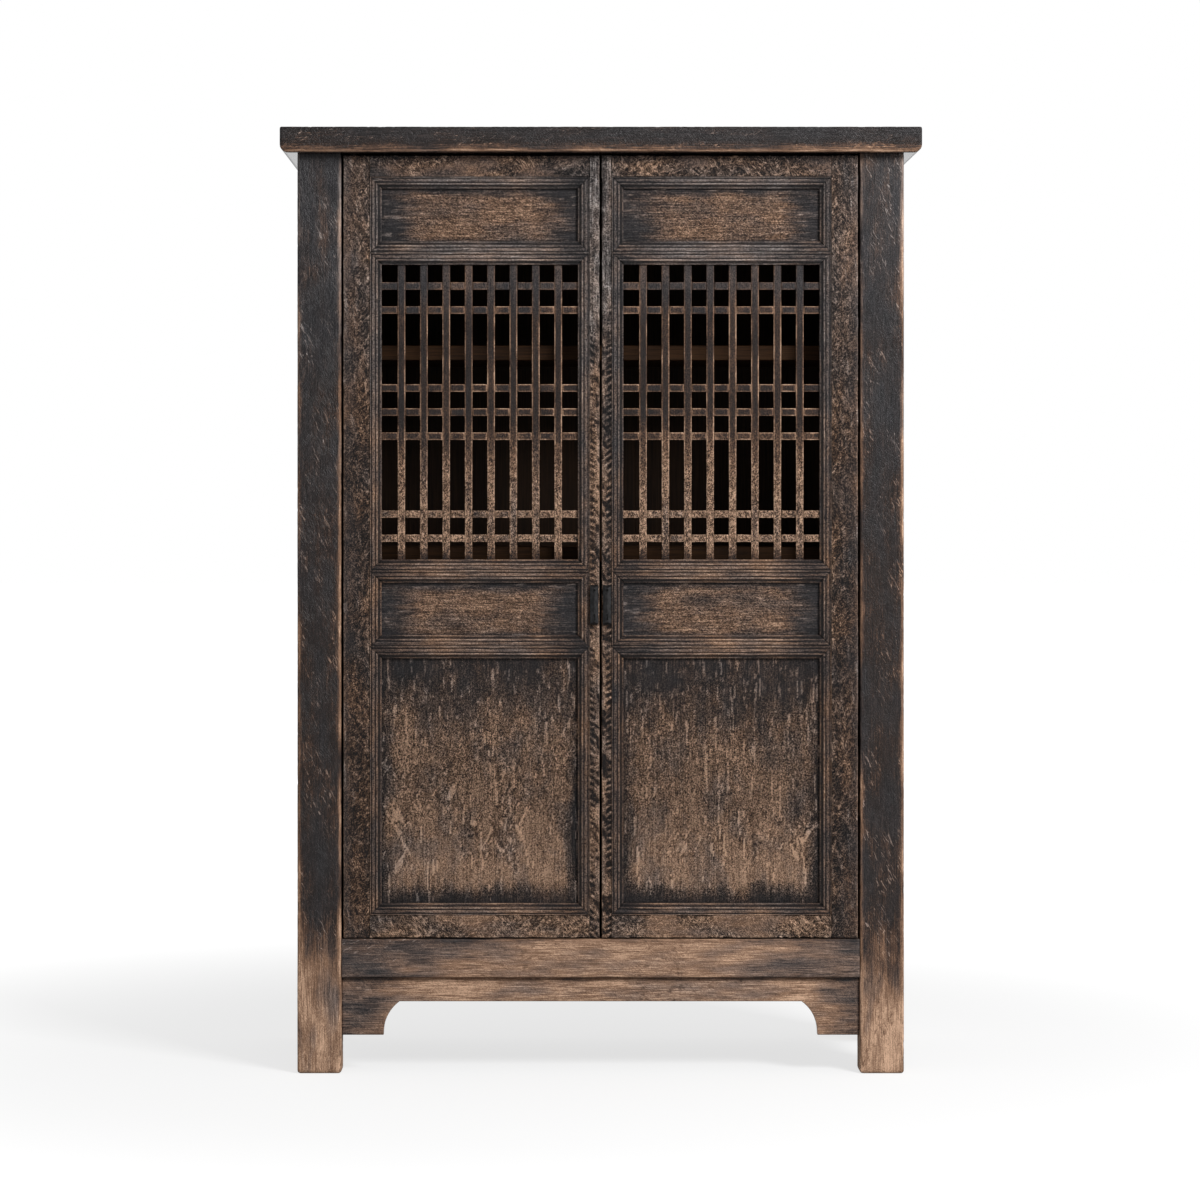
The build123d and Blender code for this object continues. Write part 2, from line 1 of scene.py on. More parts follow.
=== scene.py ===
from functools import partial, reduce
from math import atan2, cos, hypot, pi, sin, sqrt, tan

import bpy
import numpy as np
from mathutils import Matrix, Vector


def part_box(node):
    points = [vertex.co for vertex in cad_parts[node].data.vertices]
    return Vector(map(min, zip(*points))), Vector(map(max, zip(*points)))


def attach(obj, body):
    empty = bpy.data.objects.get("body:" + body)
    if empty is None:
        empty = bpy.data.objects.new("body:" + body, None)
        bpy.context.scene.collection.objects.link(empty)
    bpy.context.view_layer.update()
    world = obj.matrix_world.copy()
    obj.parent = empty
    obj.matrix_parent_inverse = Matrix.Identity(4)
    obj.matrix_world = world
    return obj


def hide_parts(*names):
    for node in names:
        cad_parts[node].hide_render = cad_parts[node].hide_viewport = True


# A two-door book cabinet in distressed dark wood. Every bar, board and moulding is swept as a worn piece
# of timber over its CAD node, with relief cut inward only. Metres throughout; front is -Y, up is +Z.

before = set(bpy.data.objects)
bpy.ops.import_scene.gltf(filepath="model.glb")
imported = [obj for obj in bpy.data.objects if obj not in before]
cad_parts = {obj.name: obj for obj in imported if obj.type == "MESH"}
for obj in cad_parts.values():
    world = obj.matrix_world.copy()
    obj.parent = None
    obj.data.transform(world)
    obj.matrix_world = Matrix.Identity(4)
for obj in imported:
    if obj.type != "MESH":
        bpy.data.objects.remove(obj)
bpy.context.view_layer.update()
scene = bpy.context.scene
mm = 0.001

# ---- where the wood lies, from the CAD frame
top_low, top_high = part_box("top_board")
post_low, post_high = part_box("left_front_post")
rear_low, rear_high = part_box("left_rear_post")
rail_low, rail_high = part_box("front_bottom_rail")
stile_low, stile_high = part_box("left_door_hinge_stile")
meeting_low, meeting_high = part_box("left_door_meeting_stile")
moulding_low, moulding_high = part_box("left_door_lattice_moulding")
upright_low, upright_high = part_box("left_door_lattice_uprights")
crossbar_low, crossbar_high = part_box("left_door_lattice_crossbars")

post_centre = abs(post_low.x + post_high.x) / 2
front = post_low.y
door_bottom, door_top = meeting_low.z, meeting_high.z
door_back = meeting_high.y
rebate_left, rebate_right = moulding_low.x, moulding_high.x
opening_left, opening_right = stile_high.x, meeting_low.x
moulding_width = opening_left - rebate_left
moulding_depth = moulding_high.y - front
rebate_back = front + moulding_depth
door_middle = (opening_left + opening_right) / 2
hands = {"left": -1, "right": 1}

# the height limits of each opening of a door, inside its mouldings
openings = {}
for opening in ("top_panel", "lattice", "waist_panel", "lower_panel"):
    low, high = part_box(f"left_door_{opening}_moulding")
    openings[opening] = (low.z + moulding_width, high.z - moulding_width)
lattice = openings["lattice"]

# ---- sizes that the boxes don't give
top_roll = 16 * mm
front_roll = 8 * mm
apron_height = 47.5 * mm
spandrel_foot = 81 * mm
spandrel_radius = 75.5 * mm
spandrel_nose = 4 * mm
lath_width = 15.5 * mm
upright_count = 8
upright_pitch = 43.4 * mm
crossbar_inset = 41 * mm
crossbar_pitch = 46.7 * mm
lath_step = 3.5 * mm
lap_gap = 0.1 * mm
mitre_gap = 0.15 * mm
pin_radius = 6.5 * mm
pivot = (stile_low.x + 20 * mm, front + 12 * mm)
full_relief = 1.6 * mm

# how far the corners and ends of the bars are rounded
crisp_edge = 0.5 * mm
flush_edge = 0.8 * mm
board_edge = 1 * mm
lath_edge = 1.2 * mm
apron_edge = 1.5 * mm
rail_edge = 2 * mm
door_edge = 2.5 * mm
top_edge = 3 * mm
post_edge = 4 * mm
foot_edge = 6 * mm


# ---- noise
noise_origin = 100.0
cell_factors = (73856093, 19349663, 83492791)
seed_factor = 40503
mixing = ((13, 1274126177), (15, 668265263), (16, 1))


def ease(low, high, value):
    """0 at low, 1 at high, smooth between; low may be the larger."""
    t = np.clip((value - low) / (high - low), 0, 1)
    return t * t * (3 - 2 * t)


def cell_values(cell, seed):
    """A repeatable random value from -1 to 1 for each whole-numbered cell."""
    x, y, z = (cell[..., i] * factor for i, factor in enumerate(cell_factors))
    mixed = x ^ y ^ z ^ seed * seed_factor
    for shift, factor in mixing:
        mixed = (mixed ^ (mixed >> shift)) * factor
    return (mixed & 0xFFFF) / 32767.5 - 1


def noise(points, size, seed):
    """Smooth noise from -1 to 1 at each point; size is that of its cells: one, across and up, or x, y, z."""
    size = np.asarray(size, float)
    scaled = points / (size[[0, 0, 1]] if size.shape == (2,) else size) + noise_origin
    base = np.floor(scaled).astype(np.int64)
    part = scaled - base
    part = part * part * (3 - 2 * part)
    total = np.zeros(points.shape[:-1])
    for corner in np.ndindex(2, 2, 2):
        total += np.prod(np.where(corner, part, 1 - part), axis=-1) * cell_values(base + corner, seed)
    return total


def layered(points, size, seed):
    """Noise with two finer layers on top of the first."""
    shares = (1, 1 / 2, 1 / 4)
    layers = [noise(points, np.asarray(size, float) * s, seed + i) * s for i, s in enumerate(shares)]
    return sum(layers) / sum(shares)


def along_grain(grain, across, along):
    """Cell sizes for noise that runs with the grain."""
    size = [across, across, across]
    size["xyz".index(grain)] = along
    return size


def turned(points, angle):
    """Points turned about the y axis, for marks that cross the grain."""
    c, s = cos(angle), sin(angle)
    x, y, z = np.moveaxis(points, -1, 0)
    return np.stack((x * c + z * s, y, z * c - x * s), axis=-1)


def wandering(points, reach, size, seed):
    """Points pushed a little aside, so that what is drawn on them wanders."""
    return points + reach * noise(points, size, seed)[..., None]


def scoops(points, size, seed, angle):
    """Gouge marks side by side: 1 in their beds, 0 on the crests between them; size is in mm."""
    bent = wandering(turned(points, angle), 2 * mm, 14 * mm, seed + 50)
    return ease(0, 0.32, np.abs(noise(bent, np.array(size) * mm, seed)))


def crossed_scoops(points, size, seed, angle):
    """Gouge marks that lean one way in some patches and the other way in the rest."""
    choose = ease(-0.15, 0.15, noise(points, 0.04, seed + 2))
    return scoops(points, size, seed, angle) * choose + scoops(points, size, seed + 1, -angle) * (1 - choose)


def strokes(points, size, seed, angle, start, full):
    """Single marks, 0 to 1, where noise is from start to full and over; size is in mm."""
    bent = wandering(turned(points, angle), 1.5 * mm, 20 * mm, seed + 50)
    return ease(start, full, noise(bent, np.array(size) * mm, seed))


# ---- swept timber
def outline(corners, radii, steps, reach=4 * mm, arc_steps=3):
    """A closed anticlockwise section; each corner has a radius, and a step in mm for the side after it.

    Gives its points, its outward normals, and how near each point lies to an arris: 1 on an outside
    corner, -1 in an inside one, fading over the reach.
    """
    points, arrises = [], []
    corners = np.array(corners, float)
    for i, corner in enumerate(corners):
        after = (i + 1) % len(corners)
        back, ahead = corners[i - 1] - corner, corners[after] - corner
        run = np.linalg.norm(ahead)
        back /= np.linalg.norm(back)
        ahead /= run
        half = np.arccos(np.clip(back @ ahead, -1, 1)) / 2
        start, end = corner + back * radii[i] / tan(half), corner + ahead * radii[i] / tan(half)
        centre = corner + (back + ahead) / np.linalg.norm(back + ahead) * radii[i] / sin(half)
        arrises.append((corner, 1 if back[0] * ahead[1] < back[1] * ahead[0] else -1))
        for share in np.linspace(0, 1, arc_steps + 1):
            spoke = (start - centre) * (1 - share) + (end - centre) * share
            points.append(centre + spoke / np.linalg.norm(spoke) * radii[i])
        stop = corners[after] - ahead * radii[after]
        for share in np.linspace(0, 1, max(1, round(run / (steps[i] * mm))) + 1)[1:-1]:
            points.append(end * (1 - share) + stop * share)
    points = np.array(points)
    edge = np.zeros(len(points))
    for corner, sign in arrises:
        near = np.exp(-((np.linalg.norm(points - corner, axis=1) / reach) ** 2))
        edge = np.where(near > np.abs(edge), sign * near, edge)
    return points, section_normals(points), edge


def section_normals(points):
    """Outward normals of a closed anticlockwise section."""
    tangent = np.roll(points, -1, 0) - np.roll(points, 1, 0)
    normals = np.stack((tangent[:, 1], -tangent[:, 0]), 1)
    return normals / np.linalg.norm(normals, axis=1, keepdims=True)


def rectangle(a, b, radius, steps, reach=4 * mm, arc_steps=3):
    """The rounded rectangle between two pairs of limits; steps are for its low b, high a, high b and low a."""
    corners = ((a[0], b[0]), (a[1], b[0]), (a[1], b[1]), (a[0], b[1]))
    return outline(corners, np.broadcast_to(radius, 4), steps, reach, arc_steps)


def stations(limits, step, foot, head=None, rings=2):
    """Places along a bar, a step in mm apart, and how far its section draws in there to bevel its ends."""
    low, high = limits
    head = foot if head is None else head
    count = max(2, round((high - low - foot - head) / (step * mm)))
    middle = np.linspace(low + foot, high - head, count + 1)
    turn = np.linspace(0, pi / 2, rings + 1)[:-1]
    offset, rise = 1 - np.cos(turn), 1 - np.sin(turn)
    places = np.r_[low + foot * offset, middle, (high - head * offset)[::-1]]
    inset = np.r_[foot * rise, np.zeros(len(middle)), (head * rise)[::-1]]
    return places, inset


def sweep(section, axis, places, inset):
    """A bar, as its rings of points, their normals and their arrises: a section at each place on an axis."""
    points, normals, edge = section
    middle = (points.min(0) + points.max(0)) / 2
    half = (points.max(0) - points.min(0)) / 2
    flat = middle + (points - middle)[None] * (1 - inset[:, None, None] / half)
    along = np.broadcast_to(places[:, None], flat.shape[:2])
    shift = "zxy".index(axis)
    rings = np.roll(np.dstack((flat, along)), shift, -1)
    outward = np.roll(np.dstack((np.broadcast_to(normals, flat.shape), np.zeros(along.shape))), shift, -1)
    arris = np.broadcast_to(edge, along.shape).copy()
    arris[[0, 1, -2, -1]] = 1
    return rings, outward, arris


def straight(axis, low, high, radius, steps, step, foot=1 * mm, head=None, rings=2):
    """A straight bar along an axis, between two corners of its box.

    Its steps are for these sides: along z, the front, right, back and left; along x, the underside, back,
    top and front; along y, the left, top, right and underside. foot and head bevel its ends.
    """
    along = "xyz".index(axis)
    a, b = (along + 1) % 3, (along + 2) % 3
    reach = 7 * mm if axis == "z" else 4 * mm
    section = rectangle((low[a], high[a]), (low[b], high[b]), radius, steps, reach)
    return sweep(section, axis, *stations((low[along], high[along]), step, foot, head, rings))


def mirrored(rings, normals, arris):
    """The same bar on the cabinet's other side."""
    return rings[:, ::-1] * (-1, 1, 1), normals[:, ::-1] * (-1, 1, 1), arris[:, ::-1]


def new_object(name, data):
    made = bpy.data.objects.new(name, data)
    scene.collection.objects.link(made)
    return made


class Piece:
    """A mesh made of swept bars, which rides on a body and stands for a CAD node.

    Its finish attribute holds, for the materials: how far the stain is worn away, the height of the
    relief, which the materials also use to paint shade into the hollows, the warmth of the stain, and how
    chipped the surface is.
    """

    def __init__(self, node):
        self.node = node
        self.points, self.finish, self.faces, self.materials, self.slots = [], [], [], [], []

    def add(self, bar, dress, material):
        """Add one closed bar, given as on the left side, with its relief cut inward."""
        rings, normals, arris = mirrored(*bar) if self.node.startswith("right_") else bar
        depth, wear, warmth, chips, *given = dress(rings, normals, arris)
        depth = np.clip(depth * mm, 0, None)
        cut = rings - normals * depth[..., None]
        relief = given[0] if given else 1 - np.clip(depth / full_relief, 0, 1)
        count, around = rings.shape[:2]
        index = sum(map(len, self.points)) + np.arange(count * around).reshape(count, around)
        following = np.roll(index, -1, 1)
        quads = np.stack((index[:-1], following[:-1], following[1:], index[1:]), -1).reshape(-1, 4)
        if material not in self.materials:
            self.materials.append(material)
        caps = [index[0][::-1].tolist(), index[-1].tolist()]
        self.faces += quads.tolist() + caps
        self.slots += [self.materials.index(material)] * (len(quads) + len(caps))
        self.points.append(cut.reshape(-1, 3))
        channels = np.broadcast_arrays(wear, relief, warmth, chips)
        self.finish.append(np.stack(channels, -1).reshape(-1, 4))

    def make(self):
        """Make the object, put it on its body and let it stand for its node."""
        mesh = bpy.data.meshes.new(f"worn_{self.node}")
        mesh.from_pydata(np.concatenate(self.points).tolist(), [], self.faces)
        attribute = mesh.attributes.new("finish", "FLOAT_COLOR", "POINT")
        attribute.data.foreach_set("color", np.concatenate(self.finish).astype(np.float32).ravel())
        for material in self.materials:
            mesh.materials.append(material)
        mesh.polygons.foreach_set("material_index", self.slots)
        mesh.polygons.foreach_set("use_smooth", [len(face) == 4 for face in self.faces])
        mesh.update()
        thing = new_object(f"worn_{self.node}", mesh)
        side, door, _ = self.node.partition("_door_")
        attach(thing, f"{side}_door" if door else "carcass")
        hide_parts(self.node)


def make_piece(node, bar, dress, material):
    """Make a piece of one bar."""
    piece = Piece(node)
    piece.add(bar, dress, material)
    piece.make()


# ---- node materials
class Graph:
    """A material and short ways to add nodes to it."""

    def __init__(self, name, grain="z"):
        self.grain = grain
        self.material = bpy.data.materials.new(name)
        self.material.use_nodes = True
        self.tree = self.material.node_tree
        self.shader = self.tree.nodes["Principled BSDF"]
        self.place = self.node("ShaderNodeTexCoord").outputs["Object"]

    def node(self, kind, *values, inputs=None, **settings):
        """A node with its settings, whose inputs are fed in their order or by name."""
        made = self.tree.nodes.new(kind)
        for key, value in settings.items():
            setattr(made, key, value)
        for key, value in (*enumerate(values), *(inputs or {}).items()):
            self.feed(made.inputs[key], value)
        return made

    def feed(self, socket, value):
        if isinstance(value, bpy.types.NodeSocket):
            self.tree.links.new(value, socket)
        else:
            socket.default_value = value

    def shade(self, **inputs):
        """Feed the shader's own sockets; an underscore in a name stands for a space."""
        for key, value in inputs.items():
            self.feed(self.shader.inputs[key.replace("_", " ")], value)

    def math(self, operation, *values):
        return self.node("ShaderNodeMath", *values, operation=operation).outputs[0]

    def total(self, *terms):
        """The sum of several values."""
        return reduce(partial(self.math, "ADD"), terms)

    def times(self, *factors):
        """The product of several values."""
        return reduce(partial(self.math, "MULTIPLY"), factors)

    def rest(self, value):
        """What a value leaves of 1."""
        return self.math("SUBTRACT", 1.0, value)

    def swing(self, value, amount, middle=0.5):
        """How far a value lies from its middle, times an amount."""
        return self.times(self.math("SUBTRACT", value, middle), amount)

    def ease(self, value, low, high, out_low=0.0, out_high=1.0):
        """From out_low to out_high, smoothly, as a value goes from low to high."""
        made = self.node("ShaderNodeMapRange", value, low, high, out_low, out_high,
                         interpolation_type="SMOOTHSTEP")
        return made.outputs[0]

    def mix(self, share, first, second, blend="MIX"):
        return self.node("ShaderNodeMixRGB", share, first, second, blend_type=blend).outputs[0]

    def noise(self, across, along=None, turn=0.0, detail=2.0, roughness=0.55, distortion=0.0):
        """Noise, 0 to 1, with cells in mm across and along the grain, turned about the y axis."""
        size = along_grain(self.grain, across * mm, (along or across) * mm)
        place = self.place
        if turn:
            inputs = {"Vector": place, "Angle": turn}
            place = self.node("ShaderNodeVectorRotate", inputs=inputs, rotation_type="Y_AXIS").outputs[0]
        spread = self.node("ShaderNodeVectorMath", place, [1 / s for s in size], operation="MULTIPLY")
        inputs = {"Vector": spread.outputs[0], "Scale": 1.0, "Detail": detail, "Roughness": roughness,
                  "Distortion": distortion}
        return self.node("ShaderNodeTexNoise", inputs=inputs).outputs["Fac"]

    def dimmed(self, colour, value):
        """A colour times a plain value."""
        grey = self.node("ShaderNodeCombineColor", value, value, value).outputs[0]
        return self.mix(1.0, colour, grey, blend="MULTIPLY")

    def bump(self, height, strength, distance):
        """Push the shader's normal about by a height."""
        inputs = {"Height": height, "Strength": strength, "Distance": distance}
        self.shade(Normal=self.node("ShaderNodeBump", inputs=inputs).outputs[0])


def linear(*srgb):
    """A colour written in sRGB, 0 to 255, as the shader takes it."""
    shares = (value / 255 for value in srgb)
    return (*(s / 12.92 if s <= 0.04045 else ((s + 0.055) / 1.055) ** 2.4 for s in shares), 1.0)


# from stained to bare, each as a cool and a warm colour
stains = (linear(44, 42, 44), linear(37, 27, 23))
thin_stains = (linear(82, 75, 73), linear(86, 64, 52))
woods = (linear(132, 122, 118), linear(140, 108, 86))
bright_woods = (linear(196, 188, 184), linear(224, 184, 154))


def timber(name, grain, fleck, turn, pitted, grit, fibre, bump, sheen=0.45, nicked=0.0, nick=(2.6, 20),
           nick_turn=0.45, streak=120, patchy=1.0):
    """Stained wood that shows bare timber where it is worn, with the grain along one axis.

    fleck and nick are the width and length in mm of the small cuts and of the nicks, turned from
    the grain by turn and nick_turn. pitted, grit, fibre, nicked and patchy are how strongly the cuts, the
    specks, the grain lines, the nicks and the clouds colour the wood; streak is the clouds' length in mm,
    bump the strength of the fine relief, and sheen the roughness of the stain. Each nick is painted pale
    and cool, partly bare wood and partly a painted highlight, inside a band of painted shade. Low relief
    and the beds of the cuts are darkened as painted shade. Planed wood, which isn't chipped, is smoother
    and shows no fibres in relief.
    """
    g = Graph(name, grain)
    finish = g.node("ShaderNodeAttribute", attribute_name="finish")
    wear, relief, warmth = g.node("ShaderNodeSeparateColor", finish.outputs["Color"]).outputs
    chips = finish.outputs["Alpha"]
    unplaned = g.ease(chips, 0.0, 0.3)

    fibres = g.noise(1.7, 46, detail=3, distortion=0.15)
    first, second = (g.noise(*fleck, angle, detail=1.5, distortion=0.7) for angle in (turn, -turn - 0.35))
    chooser = g.ease(g.noise(55, detail=1), 0.44, 0.56)
    cells = g.total(g.times(first, chooser), g.times(second, g.rest(chooser)))
    pits = g.ease(g.math("ABSOLUTE", g.math("SUBTRACT", cells, 0.5)), 0.0, 0.085)
    specks = g.noise(2.3, roughness=0.6)
    holes = g.ease(specks, 0.4, 0.52)
    cloud = g.noise(38, streak, detail=3)
    nicking = g.noise(*nick, nick_turn, detail=1, distortion=1.0)
    gathered = g.times(g.ease(cloud, 0.44, 0.58, 0.15, 1.0), g.ease(wear, 0.2, 0.55, nicked, 0.15 * nicked))
    # painted highlight and painted shade: the nick itself is painted pale and cool, partly bare wood and partly
    # a glint, and the band round it is painted darker
    nick_shade_rim = g.ease(nicking, 0.56, 0.62)
    cut = g.ease(nicking, 0.62, 0.67)

    level = g.total(
        wear,
        g.times(chips, g.swing(pits, -pitted, 0.64)),
        g.times(chips, g.swing(holes, grit, 0.8)),
        g.swing(fibres, fibre),
        g.swing(cloud, patchy),
        g.swing(relief, 0.25, 0.7),
        g.times(gathered, g.total(g.times(cut, 2.4), g.times(nick_shade_rim, -0.8))),
    )
    tint = g.total(1.0, g.swing(fibres, 2.2), g.swing(specks, 1.6), g.swing(pits, -0.35, 0.64))
    tint = g.times(tint, g.ease(level, -0.4, 0.15, 0.55, 1.05))
    warm = g.total(warmth, g.swing(cloud, 1.8), g.times(gathered, cut, -1.2))
    warm = g.math("MAXIMUM", g.math("MINIMUM", warm, 1.0), 0.0)
    colour = g.dimmed(g.mix(warm, *stains), g.math("MAXIMUM", tint, 0.3))
    for colours, start, full in ((thin_stains, 0.12, 0.55), (woods, 0.42, 0.8), (bright_woods, 0.75, 1.3)):
        colour = g.mix(g.ease(level, start, full), colour, g.mix(warm, *colours))
    # painted shade: the colour is darkened where the relief is low and in the beds of the cuts
    recess_shade = g.times(g.ease(relief, 0.0, 0.65, 0.5, 1.0), g.rest(g.times(pits, chips, pitted)))
    height = g.total(g.times(g.rest(pits), chips), g.times(fibres, unplaned, 0.8),
                     g.times(holes, chips, 0.4), g.times(cut, unplaned, 1.5 * nicked))
    g.shade(
        Base_Color=g.dimmed(colour, recess_shade),
        Roughness=g.times(g.ease(level, 0.2, 0.7, sheen, 0.72), g.ease(unplaned, 0.0, 1.0, 0.5, 1.0)),
        Specular_IOR_Level=0.22,
    )
    g.bump(height, bump, 2.2 * mm)
    return g.material


def forged_iron():
    """Black iron from the hammer, with a dull burnish."""
    g = Graph("forged_iron")
    hammered = g.noise(5, 7)
    grit = g.noise(0.8)
    g.shade(
        Base_Color=g.mix(g.ease(hammered, 0.35, 0.7), linear(13, 13, 14), linear(44, 43, 44)),
        Roughness=g.ease(grit, 0.3, 0.7, 0.38, 0.6),
        Metallic=0.55,
    )
    g.bump(g.total(hammered, g.times(grit, 0.2)), 0.5, 0.5 * mm)
    return g.material


def sawn_wood(name, grain, dark, light):
    """Plain unstained or thinly stained wood, for what lies inside and behind."""
    g = Graph(name, grain)
    streak = g.noise(3, 90, detail=4, distortion=0.4)
    cloud = g.noise(50, 120, detail=3)
    share = g.total(g.times(streak, 0.6), g.times(cloud, 0.4))
    g.shade(Base_Color=g.mix(g.ease(share, 0.3, 0.7), dark, light), Roughness=0.7, Specular_IOR_Level=0.15)
    g.bump(streak, 0.4, 0.4 * mm)
    return g.material


post_wood = timber("post_wood", "z", (4, 16), turn=0.3, pitted=0.14, grit=0.2, fibre=1.3, bump=0.4,
                   sheen=0.38, nicked=0.36, nick=(3.0, 22), patchy=1.2)
plank_wood = timber("plank_wood", "x", (3.5, 14), turn=0.25, pitted=0.14, grit=0.2, fibre=1.4, bump=0.4,
                    sheen=0.34, nicked=0.3, nick=(3.0, 16))
cross_wood = timber("cross_wood", "y", (4, 12), turn=0.3, pitted=0.4, grit=0.2, fibre=0.9, bump=0.4)
stile_wood = timber("stile_wood", "z", (2.8, 8), turn=0.45, pitted=0.52, grit=0.5, fibre=0.6, bump=0.9,
                    nicked=0.25, patchy=0.5)
rail_wood = timber("rail_wood", "x", (3.0, 9), turn=0.6, pitted=0.6, grit=0.3, fibre=0.7, bump=0.9,
                   nicked=0.2, patchy=0.7)
rope_wood = timber("rope_wood", "z", (3.0, 8), turn=0.8, pitted=0.55, grit=0.5, fibre=0.7, bump=0.9, nicked=0.2)
across_wood = timber("across_wood", "x", (2.4, 8), turn=0.08, pitted=0.45, grit=0.4, fibre=1.5, bump=0.8,
                     nicked=0.25, nick=(2.6, 26), nick_turn=0.1, streak=90, patchy=0.8)
panel_wood = timber("panel_wood", "z", (2.8, 5), turn=0.08, pitted=0.45, grit=0.75, fibre=1.0, bump=0.9,
                    nicked=0.12, nick=(2.2, 34), nick_turn=0.05, streak=70, patchy=0.8)
lath_wood = timber("lath_wood", "z", (2.8, 6), turn=0.4, pitted=0.6, grit=0.3, fibre=0.4, bump=0.7)
shelf_wood = sawn_wood("shelf_wood", "x", linear(36, 22, 12), linear(68, 44, 24))
back_wood = sawn_wood("back_wood", "z", linear(24, 16, 11), linear(48, 32, 20))
hidden_wood = sawn_wood("hidden_wood", "x", linear(24, 19, 17), linear(40, 31, 25))
iron = forged_iron()


# ---- wear, member by member
# Each dress function gives, at every point of a bar, how deep it is cut in mm, how far its stain is worn
# away (0 stained, 1 bare), how warm it is and how chipped. Its factors are the weights of single marks.
# Cells of noise are in metres, those of scoops, strokes and nicks in mm.
# The worn share also carries painted highlight or painted shade in dress_post, dress_hinge_stile,
# dress_tall_board and dress_lath, as noted there.

# heights over which the finish changes, from where a change starts to where it is full
post_head, post_brown, post_shin, post_foot = (1.45, 1.65), (1.6, 1.15), (0.9, 0.35), (0.34, 0.11)
stile_head, stile_brown, stile_notched = (1.1, 1.65), (1.5, 1.2), (1.55, 1.3)
moulding_brown = (1.5, 0.9)
side_foot = (0.38, 0.12)


def uneven(p, size, seed):
    """Patches, 0 to 1."""
    return 0.5 + 0.5 * layered(p, size, seed)


def grain_relief(p, grain, seed):
    """Shallow troughs that run with the grain, 0 to 1."""
    return uneven(p, along_grain(grain, 7 * mm, 150 * mm), seed)


def outer(arris):
    """How near an outside corner lies, 0 to 1."""
    return np.clip(arris, 0, 1)


def blunted(p, arris, depth, seed):
    """How deep in mm the outside corners are worn, here more and there less."""
    return depth * outer(arris) * uneven(p, 0.04, seed + 7)


def inward_share(p, start, stop):
    """How far inward each point lies on either side of the cabinet: 0 at start, 1 at stop on the left."""
    return (-np.abs(p[..., 0]) - start) / (stop - start)


def nicks(p, size, seed, angle, start):
    """Sparse short cuts, 0 to 1, that lean to either side of the grain."""
    gathered = ease(-0.2, 0.35, noise(p, 0.11, seed + 5))
    both = (strokes(p, size, seed + i, lean * angle, start, start + 0.2) for i, lean in ((0, 1), (1, -0.7)))
    return np.maximum(*both) * (0.35 + 0.65 * gathered)


def dress_post(seed, p, n, arris):
    """A post: charcoal at its head, browner below, with rubbed arrises, painted paler on the right as a
    painted highlight, and a foot worn to tan.
    """
    x, z = p[..., 0], p[..., 2]
    cut = nicks(p, (4, 15), seed, 0.5, 0.45)
    depth = 0.3 * grain_relief(p, "z", seed) + 0.9 * cut + blunted(p, arris, 0.8, seed)
    ragged = z + 0.05 * layered(p, (9 * mm, 90 * mm), seed + 2) + 0.04 * noise(p, 0.05, seed + 8)
    foot = ease(*post_foot, ragged)
    patches = layered(p, (0.03, 0.12), seed + 9)
    wear = 0.12 * ease(*post_head, z) - 0.03 + 0.18 * patches + 0.08 * ease(*post_shin, z) + 0.85 * foot
    wear += cut * (0.3 - 0.3 * foot)
    rubbed = outer(arris) * ease(-1.0, 0.2, layered(p, 0.12, seed + 3))
    # painted highlight: the arrises on each post's right half, towards the lamp, are rubbed paler than those on
    # its left half
    lit_right_half = x > np.sign(x) * post_centre
    rubbed *= np.where(lit_right_half, 1.05, 0.75)
    rubbed *= (0.45 + 0.6 * np.clip(-n[..., 1], 0, 1))
    wear += rubbed * (1 - 0.8 * foot)
    browner = z + 0.25 * noise(p, 0.1, seed + 4)
    warmth = 0.15 + 0.6 * ease(*post_brown, browner) + 0.8 * patches + 0.45 * rubbed + 0.3 * foot
    return depth, wear, warmth, 0.6


def dress_plank(seed, bare, grain, cuts, p, n, arris):
    """A board or rail with a planed underside; bare gives how worn and how warm each point is."""
    cut = nicks(turned(p, pi / 2), (4, 12), seed, 0.7, cuts)
    depth = 0.3 * grain_relief(p, grain, seed) + 0.8 * cut + blunted(p, arris, 0.9, seed)
    wear, warmth = bare(p, n)
    streaks = layered(p, along_grain(grain, 5 * mm, 70 * mm), seed + 4)
    wear = wear + 0.16 * streaks + 0.45 * cut * (1 - ease(0.4, 0.8, wear))
    wear += 0.18 * outer(arris) * uneven(p, 0.1, seed + 3)
    planed = n[..., 2] < -0.9
    return np.where(planed, 0.1, depth), wear, warmth, np.where(planed, 0, 0.6)


def dress_hinge_stile(seed, p, n, arris):
    """Gouged all over, most of all towards the moulding, and darker lower down; long raised strokes
    on its outer part are painted pale grey as a painted highlight.
    """
    z = p[..., 2]
    inward = np.clip(inward_share(p, stile_low.x, rebate_left), 0, 1)
    gouged = 0.3 + 0.7 * ease(-0.1, 0.7, inward + 0.35 * noise(p, (0.03, 0.06), seed + 9))
    beds = crossed_scoops(p, (5.5, 17), seed, 0.4)
    # painted highlight: the long strokes on the outer part are raised and painted paler and greyer along their
    # length
    long = strokes(p, (3.5, 45), seed + 11, 0.1, 0.34, 0.62) * ease(1.0, 0.3, inward)
    depth = 0.95 * gouged * beds + 0.3 * grain_relief(p, "z", seed)
    depth = depth * (1 - 0.7 * long) + blunted(p, arris, 0.7, seed)
    patches = layered(p, (0.03, 0.06), seed + 4)
    wear = 0.29 + 0.15 * ease(*stile_head, z) + 0.08 * gouged + 0.12 * patches
    wear = wear + 0.2 * long + 0.28 * (1 - beds) * gouged + 0.4 * outer(arris)
    warmth = 0.35 + 0.25 * gouged + 0.3 * patches - 0.3 * long + 0.2 * ease(*stile_brown, z)
    return depth, wear, warmth, 0.4 + 0.6 * gouged


